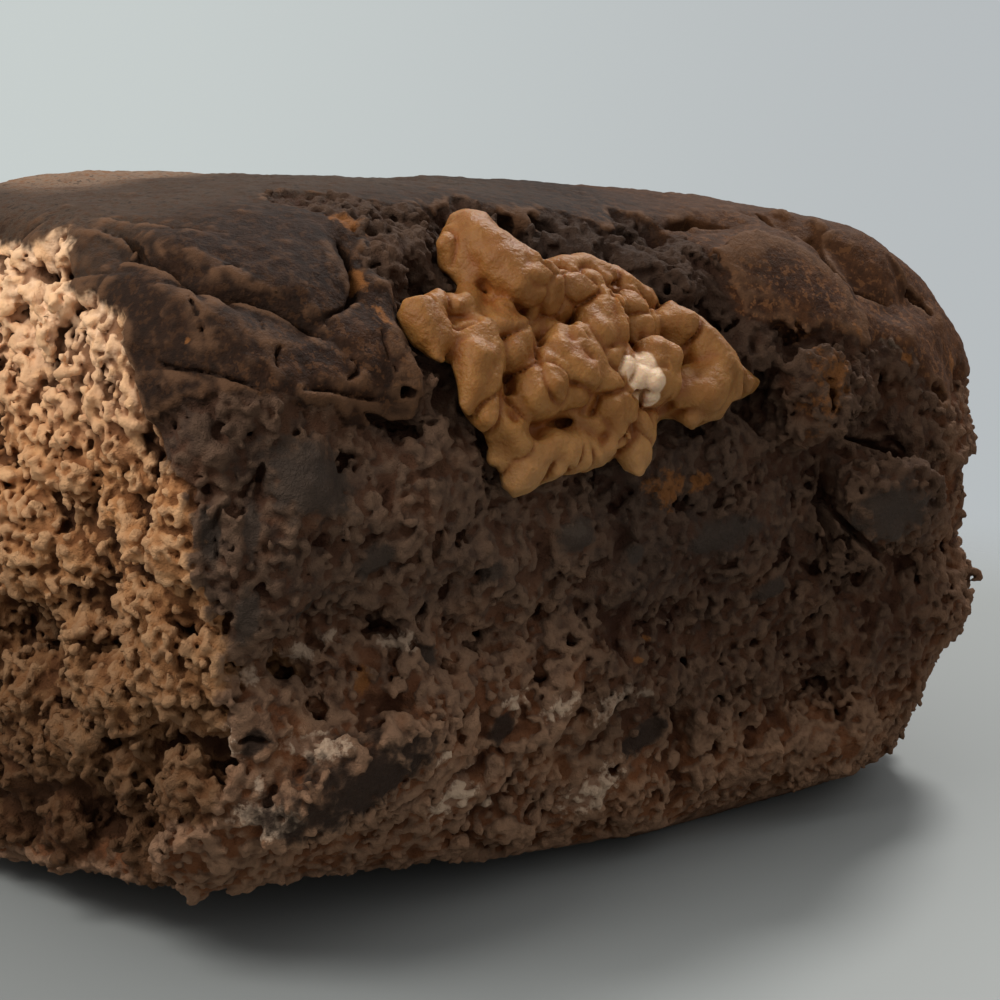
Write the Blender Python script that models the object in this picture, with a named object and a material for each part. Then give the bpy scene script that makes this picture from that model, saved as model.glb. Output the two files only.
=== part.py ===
"""Peanut butter brownie: a thick baked bar, torn across one end, with a dollop of peanut butter.

Metres, +Z up. The origin is on the floor under the middle of the bar. +X runs along the bar to its
rounded baked end, -X is the torn end, and the dollop sits in the shoulder of the -Y side.
The shapes below are worked out in millimetres and scaled once, when a mesh is made.
"""

import math

import bmesh
import bpy
import numpy as np
from mathutils import Vector, noise
from mathutils.bvhtree import BVHTree

MM = 0.001

# Driving dimensions of the bar, in millimetres
HALF_LENGTH = 31.3
HALF_WIDTH = 22.0
SHOULDER_HEIGHT = 35.2
SHOULDER_RADIUS = 11.3
PLAN_CORNER_RADIUS = 14.6
BASE_EDGE_RADIUS = 6.0
TORN_EDGE_RADIUS = 4.5
SIDE_TAPER = math.radians(8.0)
CROWN = 1.6
CORNER_LIFT = 3.0
CRUST_EDGE_HEIGHT = 28.0

# Lattice of the bar's surface: number of cells, and how much closer they are at the torn end and the near side
CELLS = {"x": 43, "y": 30, "z": 24}
CROWDING = {"x": 0.22, "y": 0.22, "z": 0.0}
RELAX_ROUNDS = 12
BEARING_HEIGHT = 0.35

# The dollop's own plane: a point on the shoulder, and the way that the dollop faces
DOLLOP_CENTRE = np.array([-8.0, -20.0, 30.0])
DOLLOP_TILT = math.radians(38.8)
DOLLOP_CELL = 0.6
DOLLOP_GAP = 0.42
DOLLOP_FLOOR = -0.6
SEAM_SHARE = 0.85
LIMB_SWELL = 0.05
OUTLINE_BLEND = 0.2
SMALLEST_FACET = 0.03
THINNEST_RIM = 0.45
HOLLOW_DEPTH = 2.4
HOLLOW_MARGIN = 1.5

# Limbs of the dollop, as chains in its plane: points (along the bar, up the shoulder), radius, height of the core
LIMBS = {
    "tongue": ([(-1.9, 7.2), (-2.3, 5.0), (-2.0, 2.9)], 1.65, 0.1),
    "tongue root": ([(-4.3, 5.7), (-3.6, 3.9)], 0.8, -0.3),
    "far left nub": ([(-7.6, 2.3), (-6.8, 2.0)], 0.65, -0.2),
    "left thin lobe": ([(-9.4, 2.2), (-9.0, -0.1)], 0.8, -0.2),
    "left column": ([(-6.8, -0.3), (-7.6, -1.6), (-7.5, -3.0)], 1.2, -0.3),
    "left shoulder": ([(-4.4, -0.7), (-4.7, 0.8)], 0.9, -0.1),
    "upper sheet": ([(1.1, 3.9), (3.2, 4.1), (5.4, 3.2), (6.6, 2.3)], 1.1, -0.5),
    "upper middle": ([(-0.4, 2.2), (2.5, 2.5)], 0.9, 0.0),
    "drop": ([(2.1, 0.7), (1.6, -0.7)], 0.95, 0.3),
    "small drop": ([(4.3, 1.4), (4.4, -0.2)], 0.7, 0.1),
    "arc": ([(7.8, 0.5), (9.6, -0.8), (9.7, -2.5), (8.4, -3.8), (6.9, -4.2)], 1.25, -0.1),
    "arc inside": ([(7.2, -0.4), (7.0, 0.6)], 0.9, -0.2),
    "arc foot": ([(6.1, -3.3), (7.2, -4.3)], 1.0, -0.2),
    "right edge": ([(10.7, -2.0), (11.6, -3.3)], 0.6, -0.1),
    "middle": ([(-1.1, -1.2), (-0.5, -2.6), (-1.9, -2.6)], 1.2, 0.0),
    "round lobe": ([(-3.8, -2.9), (-3.2, -2.6)], 1.15, 0.3),
    "right of middle": ([(1.9, -2.0), (1.0, -3.2), (1.2, -4.4)], 1.05, 0.0),
    "nugget": ([(3.5, -2.1), (4.7, -2.3), (4.2, -3.4), (3.3, -3.1)], 0.65, 0.9),
    "nub": ([(3.6, -4.8)], 0.7, 0.5),
    "lower left limb": ([(-7.3, -3.5), (-5.6, -4.2), (-5.3, -5.9), (-5.7, -6.7)], 0.8, -0.1),
    "lower middle": ([(-3.5, -5.3), (-2.9, -6.0), (-1.5, -5.2), (-0.4, -5.6)], 0.9, 0.0),
    "right foot": ([(2.0, -4.9), (2.6, -5.9), (2.4, -6.8)], 0.85, -0.1),
}

# Raised and sunk places of the bar: middle, radii along X, Y and Z, and height (sunk where negative)
SWELLINGS = {
    "crust dome": ((9.5, -17.0, 32.0), (5.5, 4.5, 3.6), 1.1),
    "far crust": ((2.0, -5.0, 35.5), (9.0, 6.0, 5.0), 0.8),
    "outer crust flap": ((17.5, -15.5, 31.5), (3.0, 3.2, 2.6), 0.8),
    "rough column": ((10.4, -21.3, 26.2), (3.2, 3.0, 3.0), 0.9),
    "smooth lump": ((15.2, -21.3, 18.6), (4.6, 4.0, 3.2), 1.2),
    "low right lump": ((13.6, -19.4, 5.0), (4.0, 3.5, 2.2), 1.1),
    "chunk": ((-22.8, -20.1, 10.4), (5.4, 4.0, 2.4), 1.2),
    "chunk end": ((-27.3, -19.0, 9.0), (2.2, 3.0, 2.2), 0.6),
    "upper chunk": ((-18.3, -20.4, 13.4), (2.0, 3.0, 2.4), 0.8),
    "ledge": ((-8.0, -20.3, 11.0), (6.0, 3.0, 2.2), 0.8),
    "near foot": ((-28.0, -15.5, 6.5), (2.6, 3.0, 2.6), 0.6),
    "middle patch": ((-24.7, -22.0, 23.4), (3.4, 3.0, 2.8), 0.6),
    "fleck": ((-17.7, -14.1, 35.5), (1.1, 0.9, 0.8), 0.5),
    "pit left of the tongue": ((-15.6, -17.4, 33.2), (1.7, 1.6, 1.6), -1.9),
    "pit right of the tongue": ((-5.6, -14.9, 34.4), (2.3, 1.5, 1.6), -1.6),
    "pit over the arc": ((3.5, -19.4, 29.7), (1.1, 1.2, 1.1), -1.5),
    "pit at the dome's foot": ((8.0, -20.0, 28.6), (1.2, 1.3, 1.0), -1.3),
    "cavity by the arc": ((4.4, -21.7, 24.9), (1.5, 2.2, 2.1), -2.3),
    "far right pit": ((19.6, -18.2, 29.5), (1.3, 1.5, 1.2), -1.4),
    "large hole": ((-25.2, -20.9, 16.1), (1.9, 2.4, 1.7), -2.5),
    "middle hole": ((-21.4, -21.0, 17.0), (1.5, 2.2, 1.5), -1.8),
    "hole over the ledge": ((-16.4, -20.4, 15.4), (1.4, 2.0, 1.0), -1.4),
    "low right pit": ((10.4, -19.8, 8.3), (2.4, 2.0, 0.9), -1.3),
    "far low right pit": ((17.6, -19.2, 5.6), (1.4, 1.8, 1.1), -1.4),
    "torn hollow": ((-31.3, -4.4, 15.8), (2.4, 2.2, 1.7), -1.7),
    "torn near hollow": ((-31.3, -11.4, 17.1), (2.4, 2.0, 1.3), -1.5),
    "torn upper hollow": ((-31.3, -5.8, 30.2), (2.4, 1.8, 1.7), -1.2),
    "torn far hollow": ((-31.3, 8.0, 22.0), (2.4, 3.0, 2.2), -1.4),
    "torn far ledge": ((-31.3, 12.0, 13.0), (2.4, 4.0, 3.0), 0.7),
}

# Cracks, furrows and folds of the bar: route, half width and height (sunk where negative)
FURROWS = {
    "main crack": ([(-28.2, -9.3, 35.3), (-28.9, -12.9, 34.5), (-27.2, -16.9, 33.1), (-23.5, -19.4, 31.0)], 0.7, -0.9),
    "crack past the fleck": ([(-17.9, -14.9, 35.1), (-19.8, -16.8, 33.9), (-20.9, -18.6, 32.2)], 0.7, -0.9),
    "crust fold": ([(-17.3, -16.2, 34.3), (-18.4, -20.2, 30.4), (-18.2, -21.2, 28.0)], 1.0, 0.9),
    "under the crust fold": ([(-23.0, -21.4, 26.9), (-20.8, -21.5, 26.8), (-18.0, -21.6, 26.6)], 0.9, -1.1),
    "slot over the dome": ([(1.2, -15.2, 33.6), (5.4, -13.8, 33.9), (8.7, -14.0, 33.6)], 0.9, -1.3),
    "furrow behind the dome": ([(12.7, -13.1, 33.9), (14.3, -15.8, 32.5), (16.5, -19.0, 29.4)], 0.9, -1.2),
    "furrow over the lump": ([(7.0, -21.8, 23.5), (13.7, -21.8, 22.2), (20.5, -21.0, 19.3)], 0.9, -1.2),
    "furrow left of the lump": ([(8.8, -21.7, 22.0), (8.9, -21.2, 17.4), (12.4, -20.9, 15.5)], 1.0, -1.2),
    "waist": ([(12.4, -20.9, 15.5), (18.8, -21.3, 15.6), (27.0, -16.0, 15.4), (31.0, 0.0, 15.4)], 1.2, -1.0),
    "long low furrow": ([(-16.0, -20.6, 15.6), (-9.0, -21.0, 15.2), (0.0, -21.0, 13.4)], 1.0, -0.9),
    "slit": ([(-28.2, -21.5, 25.9), (-28.6, -21.6, 23.9)], 0.8, -1.3),
    "low slit": ([(0.1, -19.9, 9.2), (0.8, -19.6, 6.8)], 0.8, -1.5),
    "low torn crevice": ([(-31.3, -11.1, 11.4), (-31.3, -10.0, 8.0), (-30.7, -9.3, 4.6)], 1.0, -2.2),
    "near torn crevice": ([(-31.3, -15.4, 13.4), (-31.3, -15.4, 11.0), (-30.8, -12.4, 5.6)], 0.9, -2.0),
    "far torn crevice": ([(-31.3, 5.0, 12.0), (-31.3, 3.6, 6.0)], 1.1, -1.8),
    "back furrow": ([(-20.0, 22.0, 17.0), (-4.0, 22.0, 14.5), (14.0, 21.5, 16.5)], 1.4, -1.0),
    "back crust fold": ([(-24.0, 20.5, 29.0), (-6.0, 21.0, 27.8), (12.0, 20.5, 28.6)], 1.3, 0.6),
    "top crack": ([(-22.0, 4.0, 37.0), (-12.0, 7.5, 36.8), (0.0, 6.0, 36.4)], 0.7, -0.7),
}

# Colours in linear light, roughness of the two materials
BROWNIE_COLOUR = (0.072, 0.036, 0.020)
BROWNIE_ROUGHNESS = 0.75
PEANUT_BUTTER_COLOUR = (0.42, 0.21, 0.065)
PEANUT_BUTTER_ROUGHNESS = 0.4


def smoothstep(start, end, value):
    """0 before start, 1 past end, and an even slope between."""
    t = np.clip((value - start) / (end - start), 0.0, 1.0)
    return t * t * (3.0 - 2.0 * t)


def bell(value, middle, width):
    """1 at the middle, falling off to both sides."""
    return np.exp(-(((value - middle) / width) ** 2))


def rounded_meet(a, b, radius):
    """Distance to two faces that meet with a rounded edge."""
    return np.minimum(-radius, np.maximum(a, b)) + np.hypot(np.maximum(radius + a, 0.0), np.maximum(radius + b, 0.0))


def underside_height(x, y):
    """How far the browned base stands off the floor: it bears in the middle and rises to the near torn corner."""
    near_corner = smoothstep(-4.0, 25.0, -x) * smoothstep(-2.0, 22.0, 4.0 - y)
    torn_edge = smoothstep(15.0, 31.0, -x)
    return CORNER_LIFT * near_corner + 0.9 * torn_edge


def top_height(x, y):
    """Height of the crust: highest towards the torn end, lower past the dollop and at the baked end."""
    along = bell(x, -16.0, 13.0) - 0.25 * smoothstep(-5.0, 10.0, x) - 1.25 * smoothstep(10.0, 30.0, x)
    across = (y / HALF_WIDTH) ** 2
    return SHOULDER_HEIGHT + CROWN * (along - across)


def bar_distance(points):
    """Distance to the smooth bar, without its relief: negative inside."""
    x, y, z = points[:, 0], points[:, 1], points[:, 2]
    lower_lobe = 1.7 * bell(z, 11.8, 5.5) * smoothstep(10.0, 26.0, x)
    waist = 1.0 * bell(z, 15.4, 1.3) * smoothstep(18.0, 28.0, x)
    lean = np.maximum(SHOULDER_HEIGHT - SHOULDER_RADIUS - z, 0.0) * math.tan(SIDE_TAPER)
    plan = rounded_meet(x - HALF_LENGTH, np.abs(y) - HALF_WIDTH, PLAN_CORNER_RADIUS)
    wall = (plan + lean - lower_lobe + waist) * math.cos(SIDE_TAPER)
    with_top = rounded_meet(wall, z - top_height(x, y), SHOULDER_RADIUS)
    with_base = rounded_meet(with_top, underside_height(x, y) - z, BASE_EDGE_RADIUS)
    return rounded_meet(with_base, -x - HALF_LENGTH, TORN_EDGE_RADIUS)


def bar_gradient(points, step=0.02):
    """Slope of the distance, which points out of the bar."""
    slopes = [bar_distance(points + step * axis) - bar_distance(points - step * axis) for axis in np.eye(3)]
    return np.stack(slopes, axis=1) / (2.0 * step)


def onto_bar(points, rounds=6):
    """The points moved to the smooth bar's surface."""
    for _ in range(rounds):
        slope = bar_gradient(points)
        reach = bar_distance(points) / np.maximum((slope ** 2).sum(axis=1), 0.05)
        points = points - slope * reach[:, None]
    return points


def lattice_lines(start, end, axis):
    """Positions of the lattice lines along one axis, closer together at the start."""
    t = np.linspace(0.0, 1.0, CELLS[axis] + 1)
    return start + (end - start) * (t + CROWDING[axis] * (t * t - t))


def box_lattice():
    """Vertices and outward quads on the faces of a box around the bar."""
    lines = (
        lattice_lines(-HALF_LENGTH, HALF_LENGTH, "x"),
        lattice_lines(-HALF_WIDTH, HALF_WIDTH, "y"),
        lattice_lines(0.0, SHOULDER_HEIGHT + CROWN, "z"),
    )
    last = [len(line) - 1 for line in lines]
    numbers = {}
    points = []

    def vertex(*place):
        if place not in numbers:
            numbers[place] = len(points)
            points.append([line[k] for line, k in zip(lines, place)])
        return numbers[place]

    quads = []
    for axis in range(3):
        u_axis = (axis + 1) % 3
        v_axis = (axis + 2) % 3
        for level in (0, last[axis]):
            for u in range(last[u_axis]):
                for v in range(last[v_axis]):
                    corners = []
                    for du, dv in ((0, 0), (1, 0), (1, 1), (0, 1)):
                        place = [0, 0, 0]
                        place[axis] = level
                        place[u_axis] = u + du
                        place[v_axis] = v + dv
                        corners.append(vertex(*place))
                    quads.append(corners if level else corners[::-1])
    return np.array(points), quads


def relax(points, quads):
    """Even out the lattice on the bar's surface."""
    edges = np.array([(quad[k], quad[(k + 1) % 4]) for quad in quads for k in range(4)])
    neighbours = np.bincount(edges[:, 0], minlength=len(points))[:, None]
    points = onto_bar(points)
    for _ in range(RELAX_ROUNDS):
        total = np.zeros_like(points)
        np.add.at(total, edges[:, 0], points[edges[:, 1]])
        points = onto_bar(0.5 * points + 0.5 * total / neighbours, rounds=2)
    return onto_bar(points)


def lumps(points, size, seed):
    """Uneven lumps of about the given size, from -1 to 1."""
    shift = Vector((seed * 7.3, seed * 3.1, seed * 5.7))
    return np.array([noise.noise(Vector(point) / size + shift) for point in points])


def chain_distance(points, chain):
    """Distance to a chain of straight links, for points in two or three dimensions."""
    nearest = np.full(len(points), np.inf)
    links = list(zip(chain, chain[1:])) or [(chain[0], chain[0])]
    for start, end in links:
        start = np.array(start)
        link = np.array(end) - start
        along = np.clip((points - start) @ link / max(link @ link, 1e-9), 0.0, 1.0)
        nearest = np.minimum(nearest, np.linalg.norm(points - start - along[:, None] * link, axis=1))
    return nearest


def dollop_axes():
    """The dollop's plane: along the bar, up the shoulder, and out of it."""
    out = np.array([0.0, -math.cos(DOLLOP_TILT), math.sin(DOLLOP_TILT)])
    along = np.array([1.0, 0.0, 0.0])
    return along, np.cross(out, along), out


def into_dollop_plane(points):
    """Places of the points in the dollop's plane."""
    along, up, _ = dollop_axes()
    return np.stack([(points - DOLLOP_CENTRE) @ along, (points - DOLLOP_CENTRE) @ up], axis=1)


def dollop_outline(places):
    """Distance to the dollop's outline in its plane, with the limbs run together: negative inside."""
    reach = np.array([chain_distance(places, chain) - radius for chain, radius, _ in LIMBS.values()])
    return -OUTLINE_BLEND * np.log(np.exp(-reach / OUTLINE_BLEND).sum(axis=0)) - LIMB_SWELL


def dollop_thickness(places):
    """Height of the limbs over the bar's smooth surface."""
    height = np.full(len(places), DOLLOP_FLOOR)
    for chain, radius, core in LIMBS.values():
        reach = SEAM_SHARE * radius
        across = np.minimum(chain_distance(places, chain), reach)
        rise = np.where(across < reach, core + radius - reach + np.sqrt(reach ** 2 - across ** 2), DOLLOP_FLOOR)
        height = np.maximum(height, rise)
    return height


def relief(points, normals):
    """Height of the crust, crumb, cracks and holes over the smooth bar."""
    torn = smoothstep(28.4, 30.8, -points[:, 0])
    edge = CRUST_EDGE_HEIGHT + 1.3 * lumps(points, 7.0, 1)
    crust = smoothstep(-0.8, 0.8, points[:, 2] - edge) * (1.0 - torn)
    under = smoothstep(2.0, 5.0, points[:, 2])
    side = 1.0 - np.maximum(torn, crust)
    height = crust * (0.25 + 0.35 * lumps(points, 8.0, 2))
    height += side * under * (-0.15 + 0.9 * lumps(points, 4.2, 3) + 0.6 * lumps(points, 2.4, 4))
    height += torn * under * (-0.3 + 0.9 * lumps(points, 3.8, 5) + 0.6 * lumps(points, 2.2, 6))
    for middle, radii, rise in SWELLINGS.values():
        away = np.linalg.norm((points - np.array(middle)) / np.array(radii), axis=1)
        height += rise * np.exp(-away ** 2)
    for route, half_width, rise in FURROWS.values():
        height += rise * bell(chain_distance(points, route), 0.0, half_width)
    _, _, out = dollop_axes()
    inside = smoothstep(-HOLLOW_MARGIN, 1.2, -dollop_outline(into_dollop_plane(points)))
    facing = smoothstep(0.2, 0.5, normals @ out)
    return height * (1.0 - 0.8 * inside * facing) - HOLLOW_DEPTH * inside * facing


def unit(vectors):
    """The vectors at a length of one."""
    return vectors / np.linalg.norm(vectors, axis=1)[:, None]


def bar_shape():
    """Vertices and quads of the brownie."""
    box_points, quads = box_lattice()
    smooth = relax(box_points, quads)
    normals = unit(bar_gradient(smooth))
    points = smooth + normals * relief(smooth, normals)[:, None]
    bearing = smooth[:, 2] < BEARING_HEIGHT
    points[:, 2] = np.where(bearing, 0.0, np.maximum(points[:, 2], 0.0))
    return points, quads


def smooth_surface_height(places):
    """Height of the smooth bar over the dollop's plane, found by stepping down onto it."""
    along, up, out = dollop_axes()
    flat = DOLLOP_CENTRE + places[:, :1] * along + places[:, 1:] * up
    height = np.full(len(places), 8.0)
    for _ in range(60):
        height -= 0.8 * bar_distance(flat + height[:, None] * out)
    return height


def hollow_height(places, bar_tree):
    """Height of the brownie's own facets over the dollop's plane, the highest within half a cell of each place."""
    along, up, out = dollop_axes()
    reach = 0.5 * DOLLOP_CELL
    around = [(du, dv) for du in (-reach, 0.0, reach) for dv in (-reach, 0.0, reach)]
    above = 12.0
    heights = []
    for u, v in places:
        drops = []
        for du, dv in around:
            start = DOLLOP_CENTRE + (u + du) * along + (v + dv) * up + above * out
            drops.append(bar_tree.ray_cast(Vector(start), Vector(-out))[3])
        heights.append(above - min(drops))
    return np.array(heights)


def snap_to_outline(places):
    """Places near the dollop's outline moved onto it."""
    step = 0.01
    reach = dollop_outline(places)
    slope = np.stack(
        [(dollop_outline(places + step * axis) - dollop_outline(places - step * axis)) / (2.0 * step)
         for axis in np.eye(2)], axis=1)
    near = np.abs(reach) < 0.45 * DOLLOP_CELL
    moved = places - slope * reach[:, None]
    return np.where(near[:, None], moved, places), np.where(near, 0.0, reach)


def smallest_facet(corners):
    """Area of the smallest triangle between three neighbouring corners of a flat cell, negative if folded over."""
    areas = []
    for k in range(len(corners)):
        before = corners[k] - corners[k - 1]
        after = corners[(k + 1) % len(corners)] - corners[k]
        areas.append(0.5 * (before[0] * after[1] - before[1] * after[0]))
    return min(areas)


def dollop_cells():
    """Places in the dollop's plane, and the cells between them that lie inside its outline."""
    us = np.arange(-12.0, 14.0, DOLLOP_CELL)
    vs = np.arange(-9.0, 10.5, DOLLOP_CELL)
    places = np.array([(u, v) for u in us for v in vs])
    places, reach = snap_to_outline(places)
    cells = []
    for i in range(len(us) - 1):
        for j in range(len(vs) - 1):
            corner = i * len(vs) + j
            cell = [corner, corner + len(vs), corner + len(vs) + 1, corner + 1]
            kept = [k for k in cell if reach[k] <= 0.0]
            if len(kept) >= 3 and smallest_facet(places[kept]) > SMALLEST_FACET:
                cells.append(kept)
    return places, one_sheet(cells)


def rim_edges(cells):
    """Edges that only one cell has, in the cell's direction."""
    edges = {}
    for cell in cells:
        for start, end in zip(cell, cell[1:] + cell[:1]):
            edges[(start, end)] = True
    return [edge for edge in edges if edge[::-1] not in edges]


def one_sheet(cells):
    """The largest sheet of cells, without corners where two parts only touch."""
    while True:
        starts = [start for start, _ in rim_edges(cells)]
        pinched = {start for start in starts if starts.count(start) > 1}
        if not pinched:
            break
        cells = [cell for cell in cells if not pinched.intersection(cell)]
    sheets = []
    for cell in cells:
        joined = [sheet for sheet in sheets if sheet["corners"].intersection(cell)]
        merged = {"corners": set(cell), "cells": [cell]}
        for sheet in joined:
            merged["corners"] |= sheet["corners"]
            merged["cells"] += sheet["cells"]
            sheets.remove(sheet)
        sheets.append(merged)
    return max(sheets, key=lambda sheet: len(sheet["cells"]))["cells"]


def dollop_shape(bar_tree):
    """Vertices and faces of the peanut butter, which lies in the brownie's hollow."""
    places, cells = dollop_cells()
    used = sorted({corner for cell in cells for corner in cell})
    number = {corner: k for k, corner in enumerate(used)}
    places = places[used]
    under = hollow_height(places, bar_tree) + DOLLOP_GAP
    over = smooth_surface_height(places) + dollop_thickness(places)
    over = np.maximum(over, under + THINNEST_RIM)
    along, up, out = dollop_axes()
    flat = DOLLOP_CENTRE + places[:, :1] * along + places[:, 1:] * up
    points = np.concatenate([flat + over[:, None] * out, flat + under[:, None] * out])
    count = len(used)
    top = [[number[corner] for corner in cell] for cell in cells]
    bottom = [[corner + count for corner in reversed(cell)] for cell in top]
    rim = [[end, start, start + count, end + count] for start, end in rim_edges(top)]
    return points, top + bottom + rim


def material(name, colour, roughness):
    """A plain material of one colour."""
    made = bpy.data.materials.new(name)
    made.use_nodes = True
    shader = made.node_tree.nodes["Principled BSDF"]
    shader.inputs["Base Color"].default_value = (*colour, 1.0)
    shader.inputs["Roughness"].default_value = roughness
    made.diffuse_color = (*colour, 1.0)
    return made


def add_solid(name, points, faces, surface):
    """One closed object from points in millimetres, with its flat base as a single face."""
    mesh = bpy.data.meshes.new(name)
    mesh.from_pydata([tuple(point) for point in points * MM], [], faces)
    work = bmesh.new()
    work.from_mesh(mesh)
    on_floor = [face for face in work.faces if all(vert.co.z < 1e-7 for vert in face.verts)]
    if on_floor:
        bmesh.ops.dissolve_faces(work, faces=on_floor, use_verts=False)
    bmesh.ops.triangulate(work, faces=work.faces[:], quad_method="SHORT_EDGE", ngon_method="BEAUTY")
    bmesh.ops.recalc_face_normals(work, faces=work.faces[:])
    work.to_mesh(mesh)
    work.free()
    mesh.shade_smooth()
    mesh.materials.append(surface)
    made = bpy.data.objects.new(name, mesh)
    bpy.context.scene.collection.objects.link(made)
    return made


def facet_tree(made, shift):
    """Search tree over an object's facets, in millimetres and before the shift to the origin."""
    points = [Vector(shift) + vertex.co / MM for vertex in made.data.vertices]
    return BVHTree.FromPolygons(points, [face.vertices[:] for face in made.data.polygons])


def clear_scene():
    """Remove what the scene holds."""
    for old in list(bpy.data.objects):
        bpy.data.objects.remove(old, do_unlink=True)


def main():
    clear_scene()
    bar_points, bar_quads = bar_shape()
    shift = (bar_points.min(axis=0) + bar_points.max(axis=0)) / 2.0
    shift[2] = 0.0
    crumb = material("baked brownie", BROWNIE_COLOUR, BROWNIE_ROUGHNESS)
    spread = material("peanut butter", PEANUT_BUTTER_COLOUR, PEANUT_BUTTER_ROUGHNESS)
    brownie = add_solid("brownie", bar_points - shift, bar_quads, crumb)
    dollop_points, dollop_faces = dollop_shape(facet_tree(brownie, shift))
    add_solid("peanut_butter", dollop_points - shift, dollop_faces, spread)


main()
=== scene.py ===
"""Looks of a peanut butter brownie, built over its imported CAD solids.

The bar's crumb is modelled as a grid of distances to the CAD bar, which the crust, the torn face, holes,
cracks and crumbs then change, and which becomes one mesh. Lengths are millimetres until a mesh is made.
"""

import math

import bpy
import numpy as np
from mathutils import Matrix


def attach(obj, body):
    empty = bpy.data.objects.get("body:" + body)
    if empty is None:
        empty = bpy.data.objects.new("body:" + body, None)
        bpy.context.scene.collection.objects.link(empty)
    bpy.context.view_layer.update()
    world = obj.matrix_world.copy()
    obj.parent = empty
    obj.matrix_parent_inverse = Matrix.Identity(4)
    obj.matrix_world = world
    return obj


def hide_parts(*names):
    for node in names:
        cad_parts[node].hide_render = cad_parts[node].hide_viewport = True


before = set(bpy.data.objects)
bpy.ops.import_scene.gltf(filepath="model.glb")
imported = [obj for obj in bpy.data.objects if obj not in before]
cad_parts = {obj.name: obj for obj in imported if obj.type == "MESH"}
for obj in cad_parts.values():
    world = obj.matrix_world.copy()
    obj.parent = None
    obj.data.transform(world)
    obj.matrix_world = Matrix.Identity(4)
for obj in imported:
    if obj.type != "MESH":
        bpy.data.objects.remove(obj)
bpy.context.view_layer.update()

import openvdb
from mathutils import Vector
from mathutils.bvhtree import BVHTree

MM = 0.001

# The photograph's viewpoint, in millimetres and degrees, and half its frame in pixels
VIEW_AZIMUTH = -40.7
VIEW_ELEVATION = 10.8
VIEW_DISTANCE = 158.3
VIEW_ANGLE = 21.44
VIEW_TARGET = Vector((4.615, 0.325, 17.1))
HALF_FRAME = 500.0
SENSOR_WIDTH = 36.0

# Grids, in millimetres: the cells of the smooth form, of the crumb and of the peanut butter
FORM_CELL = 0.3
CRUMB_CELL = 0.138
SPREAD_CELL = 0.12

# The smooth form, in millimetres: how much its edges are rounded, how deep it is known and the room round it
FORM_BLUR = 0.45
FORM_REACH = 3.6
FORM_MARGIN = 1.4

# The bar's mesh: its triangles, and how much the thinning favours short edges
BAR_TRIANGLES = 1_150_000
LENGTH_COST = 0.00003

CHANCE = np.random.default_rng(8)

# Crumbs: spacing, least and greatest radius, share kept on the torn face and elsewhere, and how far they sink
CRUMBS = [
    (0.42, 0.17, 0.28, 0.90, 0.80, -0.05),
    (0.66, 0.26, 0.38, 0.60, 0.60, 0.06),
    (1.25, 0.50, 0.80, 0.10, 0.30, 0.38)]

# How softly crumbs melt into each other and into the ground, and how many are worked out at a time
CRUMB_SOFT = 0.04
GROUND_SOFT = 0.07
BALLS_AT_ONCE = 4000

# The crumb's finest grain: its depth in millimetres, its size in cells and how much crust takes off it
GRAIN = 0.32
GRAIN_CELLS = 0.8
GRAIN_SMOOTHED = 0.75

# How ragged holes are, and the gap between the bar and the peanut butter, in millimetres
HOLE_RAG = 2.2
NEST_GAP = 0.03

# Peanut butter: how deep its lobes and nubs sink, by radius, and its seams' depth and width in millimetres
LOBE_SINK = 0.34
NUB_SINK = -0.3
SEAM_DEPTH = 0.34
SEAM_WIDTH = 0.42

# Peanut butter: its form's cell, blur, reach and margin, and how softly its bed and lobes melt together
SPREAD_FORM = (0.24, 0.2, 1.9, 1.3)
BED_BALLS_SOFT = 0.12
SPREAD_SOFT = 0.20

# Peanut butter: how far past its outline it may reach, in pixels, and how far a pixel spans it in millimetres
OUTLINE_ROOM = 2.0
PIXEL_SPAN = 0.053

# Depth of the fine grain in the materials, in metres
CRUMB_BUMP = 0.00026
SPREAD_BUMP = 0.00010

# The floor: its radius in metres, and where it fades out, in millimetres from its middle
FLOOR_RADIUS = 0.12
FLOOR_FADES = (62.0, 100.0)

# Colours of the crumb, in linear light
CRUMB_DARK = (0.084, 0.041, 0.0235)
CRUMB_BROWN = (0.200, 0.107, 0.062)
CRUMB_RUSTY = (0.240, 0.092, 0.036)
# Painted light: crumb lighter near the table, standing in for light bounced off it
CRUMB_LOW_BOUNCE_LIGHT = (0.30, 0.170, 0.100)
CRUMB_MIDDLE = (0.34, 0.205, 0.135)
GRAIN_LIGHT = (0.33, 0.180, 0.102)
GRAIN_DARK = (0.058, 0.027, 0.015)
# Painted highlight: lighter crumb on the crests of the grains
PAINTED_CREST_HIGHLIGHT = (0.35, 0.202, 0.119)
CRUMB_PALE = (0.66, 0.475, 0.330)
# Painted shade: darker, redder crumb in the small hollows between the grains
PAINTED_PIT_SHADE = (0.170, 0.052, 0.015)
CRUMB_UNDER_CRUST = (0.060, 0.0245, 0.0105)
CRUMB_RIGHT = (0.066, 0.028, 0.015)
CRUMB_FAR_RIGHT = (0.036, 0.022, 0.016)
CRUMB_BY_TORN = (0.042, 0.030, 0.0235)
CRUMB_CALM = (0.047, 0.034, 0.0255)
CRUMB_CALM_LOW = (0.033, 0.0185, 0.0120)
# Painted shade: dark crumb deep in the holes and broad hollows
PAINTED_HOLE_SHADE = (0.035, 0.013, 0.007)
# Orange marks of the crumb, and a painted warm highlight on the rim of the right end
WARM_MARKS_AND_RIM_HIGHLIGHT = (0.24, 0.092, 0.026)

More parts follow.
